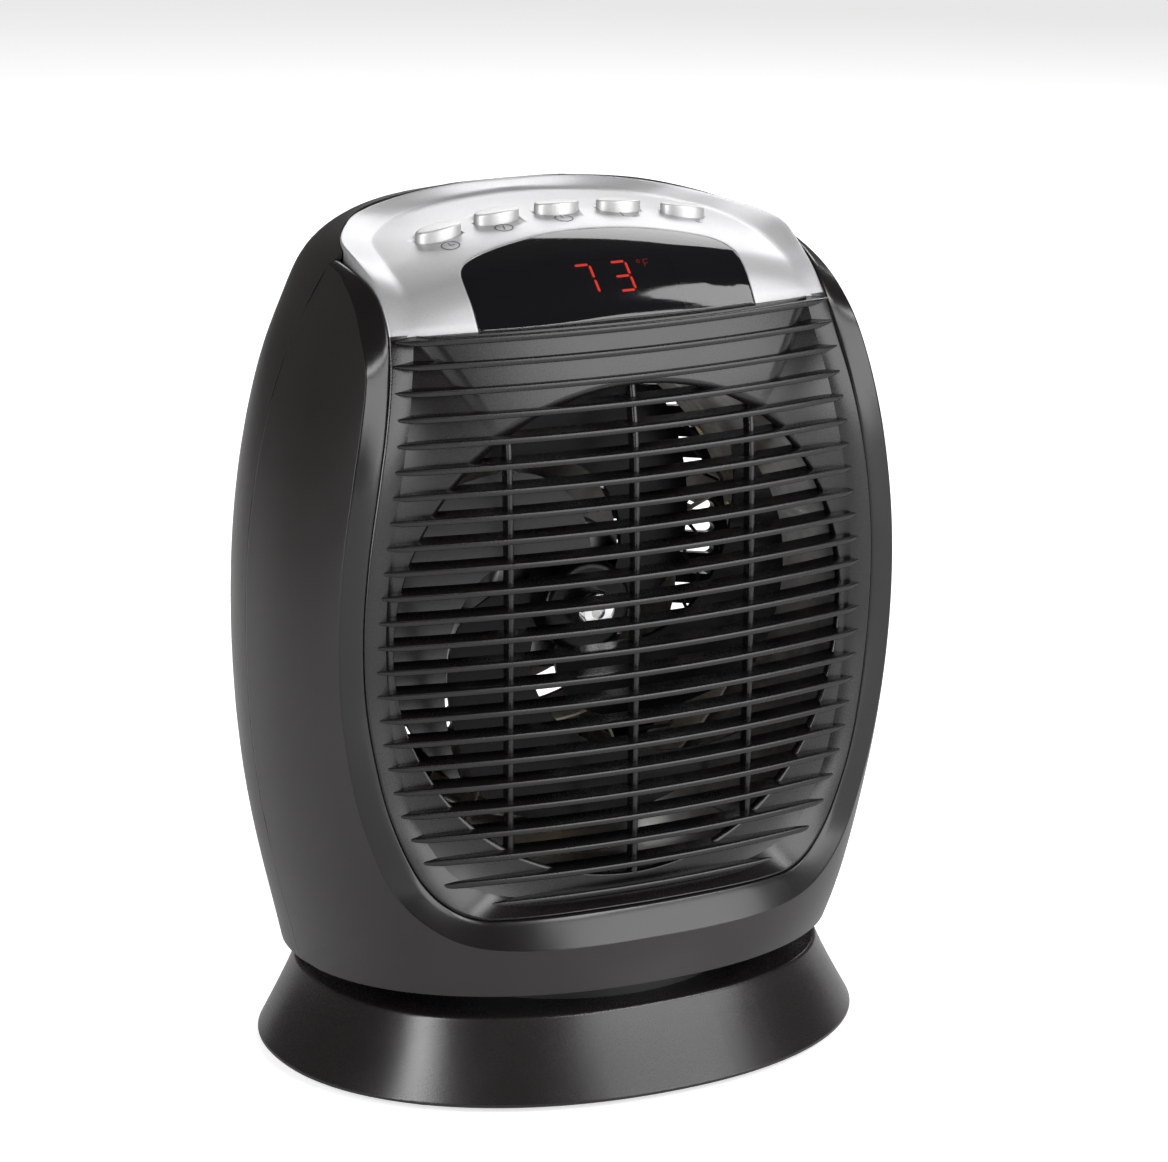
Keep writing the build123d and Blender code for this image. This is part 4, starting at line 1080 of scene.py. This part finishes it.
@dataclass(frozen=True)
class Button:
    """One push button: an oval cap that rises towards the front."""

    body: Body
    at: float
    shape: TopShape = TopShape()
    length: float = 15.6
    width: float = 9.0
    set_back: float = -0.5
    arc: float = -0.002
    rise: float = 3.6
    rear_rise: float = 2.5
    dome: float = 0.35
    skirt: float = 5.0
    gap: float = 0.22
    facets: int = 72
    hole_reach: float = 9.0
    weld: float = 1e-7
    edge: tuple[Pair, ...] = ((0.0, 0.9), (0.05, 0.5), (0.2, 0.22), (0.5, 0.06), (0.9, 0.0))
    rings: tuple[float, ...] = (1.8, 2.6, 3.4, 4.1, 4.49)

    def middle(self) -> Pair:
        """Returns the button's place on plan."""
        return self.at, self.set_back + self.arc * self.at**2

    def top(self, x: float, y: float) -> float:
        """Height of the cap's top.

        Args:
            x: Place across.
            y: Depth.

        Returns:
            The height there.
        """
        cx, cy = self.middle()
        share = 0.5 - (y - cy) / self.width
        dome = self.dome * (1 - ((x - cx) / self.length * 2) ** 2)
        return self.shape.height(x, y) + self.rear_rise + (self.rise - self.rear_rise) * share + dome

    def ring(self, inward: float) -> list[Pair]:
        """An oval inside the cap's edge.

        Args:
            inward: The distance from the edge.

        Returns:
            Its points on plan.
        """
        cx, cy = self.middle()
        turns = [2 * math.pi * k / self.facets for k in range(self.facets + 1)]
        across, deep = self.length / 2 - inward, self.width / 2 - inward
        return [(cx + across * math.cos(turn), cy + deep * math.sin(turn)) for turn in turns]

    def build(self) -> Piece:
        """Builds the cap.

        Returns:
            The piece.
        """
        rows = [[Vector((x, y, self.shape.height(x, y) - self.skirt)) for x, y in self.ring(0.0)]]
        for inward, drop in (*self.edge, *((inward, 0.0) for inward in self.rings)):
            rows.append([Vector((x, y, self.top(x, y) - drop)) for x, y in self.ring(inward)])
        return grid(self.body.value + "_cap", rows)

    def hole(self) -> Piece:
        """Builds the solid that the button's hole is cut by.

        Returns:
            The piece.
        """
        z = self.shape.height(*self.middle())
        ends = (z - self.hole_reach, z + self.hole_reach)
        rows = [[Vector((x, y, end)) for x, y in self.ring(-self.gap)] for end in ends]
        made = grid(self.body.value + "_hole", rows)
        seal(made, self.weld)
        return made

    def dress(self, dresser: Dresser) -> None:
        """Builds and finishes the cap."""
        dresser.piece(self.build(), self.body, Slot.SILVER, self.body.value, finishes=("cap",))


@dataclass(frozen=True)
class TopPanel:
    """The satin panel: an arch round the window, with a crest and a sunken field."""

    buttons: tuple[Button, ...] = ()
    shape: TopShape = TopShape()
    columns: int = 90
    thick: float = 2.5
    skirt: float = 7.0
    foot_in: float = 2.0
    rim: tuple[Pair, ...] = ((0.0, 0.8), (0.12, 0.35), (0.4, 0.1), (0.9, 0.02))
    slope_parts: tuple[float, ...] = (0.2, 0.4, 0.6, 0.8)
    bend_lift: float = 0.12
    bend_full: float = 2.4
    bend_near: tuple[float, ...] = (0.8, 2.0)
    field_shares: tuple[float, ...] = (0.12, 0.22, 0.34, 0.46, 0.58, 0.7, 0.82, 0.91, 0.97)
    lip_in: float = 0.3
    lip_drop: float = 0.25
    plan: tuple[tuple[float, ...], ...] = (
        (77.4, -39.9, 69.2, -41.9, 49.2, -45.2),
        (77.0, -36.5, 68.9, -37.8, 49.2, -40.6),
        (76.6, -31.5, 68.1, -33.0, 49.2, -36.0),
        (76.5, -24.0, 67.4, -25.5, 48.6, -31.2),
        (76.9, -14.0, 66.6, -14.5, 46.6, -27.5),
        (73.6, 5.2, 62.6, 6.4, 42.6, -24.8),
        (66.8, 18.4, 55.5, 17.5, 36.5, -22.9),
        (56.9, 29.4, 43.5, 27.4, 29.0, -21.3),
        (31.3, 36.2, 24.0, 33.8, 15.5, -19.3),
        (0.0, 38.0, 0.0, 35.6, 0.0, -18.5),
    )

    def section(self, plan: Sequence[float]) -> list[Vector]:
        """The panel's closed section at one place along the arch.

        Args:
            plan: Outer, bend and window points on plan.

        Returns:
            The section's points.
        """
        shape = self.shape
        outer, bend, window = (Vector(plan[k : k + 2]) for k in (0, 2, 4))
        slant = (bend - outer).length
        in_rim, in_field = (bend - outer).normalized(), (window - bend).normalized()
        top = shape.height(outer.x, outer.y, crest=True)
        fall = shape.height(bend.x, bend.y) - top
        points = [(outer, top - self.skirt)]
        for inward, drop in self.rim:
            points.append((outer + in_rim * inward, top + fall * inward / slant - drop))
        start = self.rim[-1][0] / slant
        for part in self.slope_parts:
            share = start + (1 - start) * part
            points.append((outer.lerp(bend, share), top + fall * share))
        lift = self.bend_lift * min(1.0, self.bend_full / slant)
        points.append((bend, top + fall * (1 - lift)))
        spots = [bend + in_field * inward for inward in self.bend_near]
        spots += [bend.lerp(window, share) for share in self.field_shares]
        spots += [window - in_field * self.lip_in]
        heights = [shape.height(spot.x, spot.y) for spot in spots]
        face = heights[-1] = shape.height(window.x, window.y)
        points += zip(spots, heights)
        points.append((window, face - self.lip_drop))
        points.append((window, face - self.thick))
        points.append((bend, top + fall - self.thick))
        points.append((outer + in_rim * self.foot_in, top - self.skirt))
        return [Vector((spot.x, spot.y, z)) for spot, z in points]

    def cut(self, made: Piece) -> None:
        """Cuts the button holes.

        Args:
            made: The panel without its holes.
        """
        holes = [button.hole() for button in self.buttons]
        for hole in holes:
            cut = made.modifiers.new(hole.name, "BOOLEAN")
            cut.object = hole
            cut.solver = "EXACT"
        depsgraph = bpy.context.evaluated_depsgraph_get()
        mesh = bpy.data.meshes.new_from_object(made.evaluated_get(depsgraph))
        mesh.materials.clear()
        made.modifiers.clear()
        made.data = mesh
        for hole in holes:
            bpy.data.objects.remove(hole)

    def build(self) -> Piece:
        """Builds the panel, with its feet cut level at the lower edge.

        Returns:
            The piece.
        """
        sections = [self.section(row) for row in along(self.plan, self.columns)]
        for point in sections[0][2:]:
            point.z = min(point.z, self.shape.low)
        rows = [mirrored(line) for line in zip(*sections)]
        for row in rows:
            row[self.columns - 1].x = 0.0
        made = grid("top_panel", rows, closed=True)
        seal(made)
        self.cut(made)
        return made

    def dress(self, dresser: Dresser) -> None:
        """Builds and finishes the panel."""
        dresser.piece(self.build(), Body.HEATER, Slot.SILVER, "control_panel")


@dataclass(frozen=True)
class Window:
    """The smoked window, a little proud of the field with a rounded edge."""

    shape: TopShape = TopShape()
    plan: tuple[tuple[float, ...], ...] = TopPanel.plan
    gap: float = 0.12
    hub: Pair = (0.0, -35.0)
    edge: tuple[Pair, ...] = ((0.0, -2.4), (0.0, -0.12), (0.06, 0.05), (0.2, 0.15), (0.7, 0.15))
    side_points: int = 60
    low_end: int = 49
    low_step: int = 3
    rings: int = 14
    first_ring: float = 0.03
    ring_span: float = 0.96

    def build(self) -> Piece:
        """Builds the window.

        Returns:
            The piece.
        """
        shape = self.shape
        low = [Vector((x, shape.edge_y(x))) for x in range(0, self.low_end, self.low_step)]
        half = [*low, *(Vector(row[4:6]) for row in along(self.plan, self.side_points))]
        loop = [*half, *(Vector((-p.x, p.y)) for p in reversed(half[1:-1]))]
        loop.append(loop[0].copy())
        hub, proud = Vector(self.hub), self.edge[-1][1]
        rows = []
        for inward, lift in self.edge:
            spots = [point + (hub - point).normalized() * (self.gap + inward) for point in loop]
            rows.append([shape.on(spot.x, spot.y, lift) for spot in spots])
        for k in range(1, self.rings):
            share = self.first_ring + self.ring_span * k / self.rings
            spots = [point.lerp(hub, share) for point in loop]
            rows.append([shape.on(spot.x, spot.y, proud) for spot in spots])
        rows.append([shape.on(hub.x, hub.y, proud) for _ in loop])
        return grid("window_pane", rows)

    def dress(self, dresser: Dresser) -> None:
        """Builds and finishes the window."""
        dresser.piece(self.build(), Body.HEATER, Slot.WINDOW, "display_window")


@dataclass(frozen=True)
class Readout:
    """The lit readout: slanted seven-bar digits and a dim unit beside them.

    A bar goes from its first two numbers to its last two, in shares of a digit's width
    and height. The unit's strokes are in millimetres from the unit's place.
    """

    origin: Triple = (0.0, -39.9, 261.6)
    tilt: float = 49.6
    depth: float = 5.2
    height: float = 10.5
    width: float = 5.5
    stroke: float = 0.85
    break_at: float = 0.35
    slant: float = -0.06
    up: float = 3.1
    seven_at: float = -5.9
    three_at: float = 6.9
    unit_at: Pair = (16.0, 4.6)
    unit_stroke: float = 0.42
    seven: tuple[tuple[float, float, float, float], ...] = (
        (-0.5, 0.5, 0.5, 0.5),
        (0.5, 0.5, 0.5, 0.0),
        (0.5, 0.0, 0.5, -0.5),
    )
    three_more: tuple[tuple[float, float, float, float], ...] = (
        (-0.5, 0.0, 0.5, 0.0),
        (-0.5, -0.5, 0.5, -0.5),
    )
    unit: tuple[tuple[float, float, float, float], ...] = (
        (-2.3, 0.6, -1.3, 0.6),
        (-1.3, 0.6, -1.3, -0.4),
        (-1.3, -0.4, -2.3, -0.4),
        (-2.3, -0.4, -2.3, 0.6),
        (0.0, 0.7, 0.0, -2.2),
        (0.0, 0.6, 1.9, 0.6),
        (0.0, -0.7, 1.5, -0.7),
    )

    def spot(self, across: float, up: float) -> Vector:
        """A point on the digits' plane.

        Args:
            across: Place across.
            up: Place up the slope.

        Returns:
            The point.
        """
        c, s = math.cos(math.radians(self.tilt)), math.sin(math.radians(self.tilt))
        lifted = up + self.up
        y = self.origin[1] + s * self.depth + c * lifted
        z = self.origin[2] - c * self.depth + s * lifted
        return Vector((across + self.slant * up, y, z))

    def bar(self, name: str, start: Vector, end: Vector, width: float, inset: float) -> Piece:
        """Builds one bar with pointed ends.

        Args:
            name: The piece's name.
            start: Its start, across and up.
            end: Its end.
            width: Its width.
            inset: How far its points stop short of both ends.

        Returns:
            The piece.
        """
        ahead = (end - start).normalized()
        side = Vector((-ahead.y, ahead.x)) * width / 2
        point, full = ahead * inset, ahead * (inset + width / 2)
        line = ((start + point, 0.0), (start + full, 1.0), (end - full, 1.0), (end - point, 0.0))
        rows = [[self.spot(*(at + side * half * way)) for at, half in line] for way in (1, -1)]
        return grid(name, rows, flip=True)

    def digit(self, name: str, at: float, bars: Sequence[Sequence[float]]) -> list[Piece]:
        """Builds one digit's bars.

        Args:
            name: The start of their names.
            at: The digit's place across.
            bars: The lit bars.

        Returns:
            The bars.
        """
        made = []
        for k, (x0, y0, x1, y1) in enumerate(bars):
            start = Vector((at + x0 * self.width, y0 * self.height))
            end = Vector((at + x1 * self.width, y1 * self.height))
            made.append(self.bar(f"{name}_{k}", start, end, self.stroke, self.break_at))
        return made

    def dress(self, dresser: Dresser) -> None:
        """Builds and finishes the digits and the unit.

        Args:
            dresser: Where its finishes come from.
        """
        bars = self.digit("seven", self.seven_at, self.seven)
        bars += self.digit("three", self.three_at, self.seven + self.three_more)
        corner = Vector(self.unit_at)
        strokes = []
        for k, (x0, y0, x1, y1) in enumerate(self.unit):
            ends = corner + Vector((x0, y0)), corner + Vector((x1, y1))
            strokes.append(self.bar(f"unit_{k}", *ends, self.unit_stroke, 0.0))
        digits, unit = join("lit_digits", bars), join("lit_unit", strokes)
        dresser.piece(digits, Body.HEATER, Slot.LIT, "display_digits")
        dresser.piece(unit, Body.HEATER, Slot.LIT, finishes=("dim",))


@dataclass(frozen=True)
class Marks:
    """Printed outlines beside the buttons.

    A line's points are on plan, in millimetres from the mark that it belongs to.
    """

    shape: TopShape = TopShape()
    lift: float = 0.05
    radius: float = 2.9
    line: float = 0.5
    steps: int = 40
    clock_at: Pair = (-43.9, -13.4)
    swing_at: Pair = (-23.1, -9.3)
    power_at: Pair = (-1.3, -8.5)
    corner_at: Pair = (19.9, -9.6)
    dash_at: Pair = (44.6, -12.4)
    open_turn: float = 0.08
    clock: tuple[Pair, ...] = ((0.0, 1.9), (0.0, 0.0), (1.5, 0.0))
    swing: tuple[Pair, ...] = ((0.5, 1.9), (-0.5, -1.9))
    power: tuple[Pair, ...] = ((0.0, 3.0), (0.0, 0.6))
    corner: tuple[Pair, ...] = ((0.5, 3.7), (0.0, 0.0), (1.3, 0.0))
    under: tuple[Pair, ...] = ((2.9, -0.3), (4.7, -0.3))
    dash: tuple[Pair, ...] = ((0.0, 0.0), (2.2, -0.8))

    def stroke(self, name: str, at: Pair, points: Sequence[Pair]) -> Piece:
        """Lays one stroke on the field.

        Args:
            name: The piece's name.
            at: The mark's place on plan.
            points: The stroke's middle line.

        Returns:
            The piece.
        """
        spots = [Vector((at[0] + x, at[1] + y)) for x, y in points]
        rows: list[list[Vector]] = [[], []]
        for k, spot in enumerate(spots):
            ahead = (spots[min(k + 1, len(spots) - 1)] - spots[max(k - 1, 0)]).normalized() * self.line / 2
            rows[0].append(self.shape.on(spot.x - ahead.y, spot.y + ahead.x, self.lift))
            rows[1].append(self.shape.on(spot.x + ahead.y, spot.y - ahead.x, self.lift))
        return grid(name, rows, flip=True)

    def circle(self, opening: float = 0.0) -> list[Pair]:
        """Points of a circle."""
        turns = [2 * math.pi * (opening + (1 - 2 * opening) * k / self.steps) for k in range(self.steps + 1)]
        return [(self.radius * math.sin(turn), self.radius * math.cos(turn)) for turn in turns]

    def build(self) -> Piece:
        """Builds the printed marks.

        Returns:
            The piece.
        """
        strokes = (
            (self.clock_at, self.circle()),
            (self.clock_at, self.clock),
            (self.swing_at, self.circle()),
            (self.swing_at, self.swing),
            (self.power_at, self.circle(self.open_turn)),
            (self.power_at, self.power),
            (self.corner_at, self.corner),
            (self.corner_at, self.under),
            (self.dash_at, self.dash),
        )
        return join("panel_marks", [self.stroke(f"mark_{k}", *stroke) for k, stroke in enumerate(strokes)])

    def dress(self, dresser: Dresser) -> None:
        """Builds and finishes the marks."""
        dresser.piece(self.build(), Body.HEATER, Slot.SILVER, finishes=("ink",))


@dataclass(frozen=True)
class Lamp:
    """One soft box, in metres and watts."""

    name: str
    place: Triple
    aim: Triple
    size: Pair
    power: float

    def build(self) -> None:
        """Makes the lamp, which the camera doesn't see."""
        data = bpy.data.lights.new(self.name, "AREA")
        data.shape = "RECTANGLE"
        data.size, data.size_y = self.size
        data.energy = self.power
        lamp = add(self.name, data)
        lamp.location = self.place
        lamp.visible_camera = False
        away = Vector(self.place) - Vector(self.aim)
        lamp.rotation_euler = away.to_track_quat("Z", "Y").to_euler()


@dataclass(frozen=True)
class Studio:
    """Floor, lamps, world and camera."""

    spot: Triple = (-641.5, -1281.8, 542.5)
    pitch: float = 15.62
    yaw: float = -26.67
    lens: float = 138.6
    film: float = 36.0
    shift: Pair = (0.01875, 0.0271)
    clip: Pair = (0.05, 50.0)
    room: Triple = (1.0, 0.97, 0.94)
    room_strength: float = 0.12
    floor_half: float = 6.0
    floor_drop: float = 0.0005
    floor_grain: float = 40.0
    floor_dark: Triple = (0.9, 0.9, 0.9)
    floor_pale: Triple = (0.94, 0.94, 0.94)
    floor_seen: Triple = (0.62, 0.62, 0.62)
    lamps: tuple[Lamp, ...] = (
        Lamp("left_box", (-1.62, -0.82, 0.8), (0, 0, 0.4), (0.45, 1.6), 28),
        Lamp("right_box", (0.94, -1.66, 0.62), (0, 0, 0.6), (1.5, 1.24), 27),
        Lamp("high_strip", (0.82, -1.2, 1.4), (0, 0, 0.25), (1.4, 0.32), 15),
        Lamp("back_top", (1.02, 1.2, 1.28), (0, 0, 0.25), (1.7, 0.72), 19),
    )

    def camera(self) -> None:
        """Makes the camera of the photograph."""
        data = bpy.data.cameras.new("camera")
        data.lens = self.lens
        data.sensor_width = self.film
        data.shift_x, data.shift_y = self.shift
        data.clip_start, data.clip_end = self.clip
        camera = add("camera", data)
        camera.location = [v * MM for v in self.spot]
        camera.rotation_euler = (math.radians(90 - self.pitch), 0.0, math.radians(self.yaw))
        bpy.context.scene.camera = camera

    def world(self) -> None:
        """Makes a white backdrop for the camera and a dimmer room for the rest."""
        world = bpy.data.worlds.new("studio")
        bpy.context.scene.world = world
        world.use_nodes = True
        tree = world.node_tree
        tree.nodes.clear()
        path = tree.nodes.new("ShaderNodeLightPath")
        clear = tree.nodes.new("ShaderNodeMath")
        clear.operation = "MAXIMUM"
        mix = tree.nodes.new("ShaderNodeMixShader")
        out = tree.nodes.new("ShaderNodeOutputWorld")
        tree.links.new(path.outputs["Is Camera Ray"], clear.inputs[0])
        tree.links.new(path.outputs["Is Transmission Ray"], clear.inputs[1])
        tree.links.new(clear.outputs[0], mix.inputs[0])
        for k, (colour, strength) in enumerate(((self.room, self.room_strength), ((1.0, 1.0, 1.0), 1.0))):
            light = tree.nodes.new("ShaderNodeBackground")
            light.inputs["Color"].default_value = (*colour, 1.0)
            light.inputs["Strength"].default_value = strength
            tree.links.new(light.outputs[0], mix.inputs[k + 1])
        tree.links.new(mix.outputs[0], out.inputs[0])

    def floor(self) -> None:
        """Makes the pale floor, which the camera sees a little brighter."""
        half, z = self.floor_half, -self.floor_drop
        mesh = bpy.data.meshes.new("floor")
        corners = ((-half, -half, z), (half, -half, z), (half, half, z), (-half, half, z))
        mesh.from_pydata(corners, [], [(0, 1, 2, 3)])
        floor = add("floor", mesh)
        shader = Shader("floor_white")
        seen = shader.node("LightPath", output="Is Camera Ray")
        mesh.materials.append(
            shader.set(
                Base_Color=shader.mix(shader.noise(self.floor_grain), self.floor_dark, self.floor_pale),
                Roughness=0.7,
                Specular_IOR_Level=0.2,
                Emission_Color=shader.mix(seen, (0.0, 0.0, 0.0), self.floor_seen),
                Emission_Strength=1.0,
            )
        )

    def build(self) -> None:
        """Makes the whole set."""
        self.camera()
        self.world()
        self.floor()
        for lamp in self.lamps:
            lamp.build()
        bpy.context.scene.view_settings.view_transform = "Standard"


def main() -> None:
    """Builds the scene in order."""
    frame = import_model()
    dresser = Dresser(Palette())
    dresser.nodes(frame)
    buttons = tuple(Button(body, at) for body, at in BUTTON_AT.items())
    for part in (FrontCase(), Grille(), TopPanel(buttons), Window(), *buttons, Readout(), Marks()):
        part.dress(dresser)
    Studio().build()


if __name__ == "__main__":
    logging.basicConfig(level=logging.INFO, format="%(name)s %(message)s")
    main()
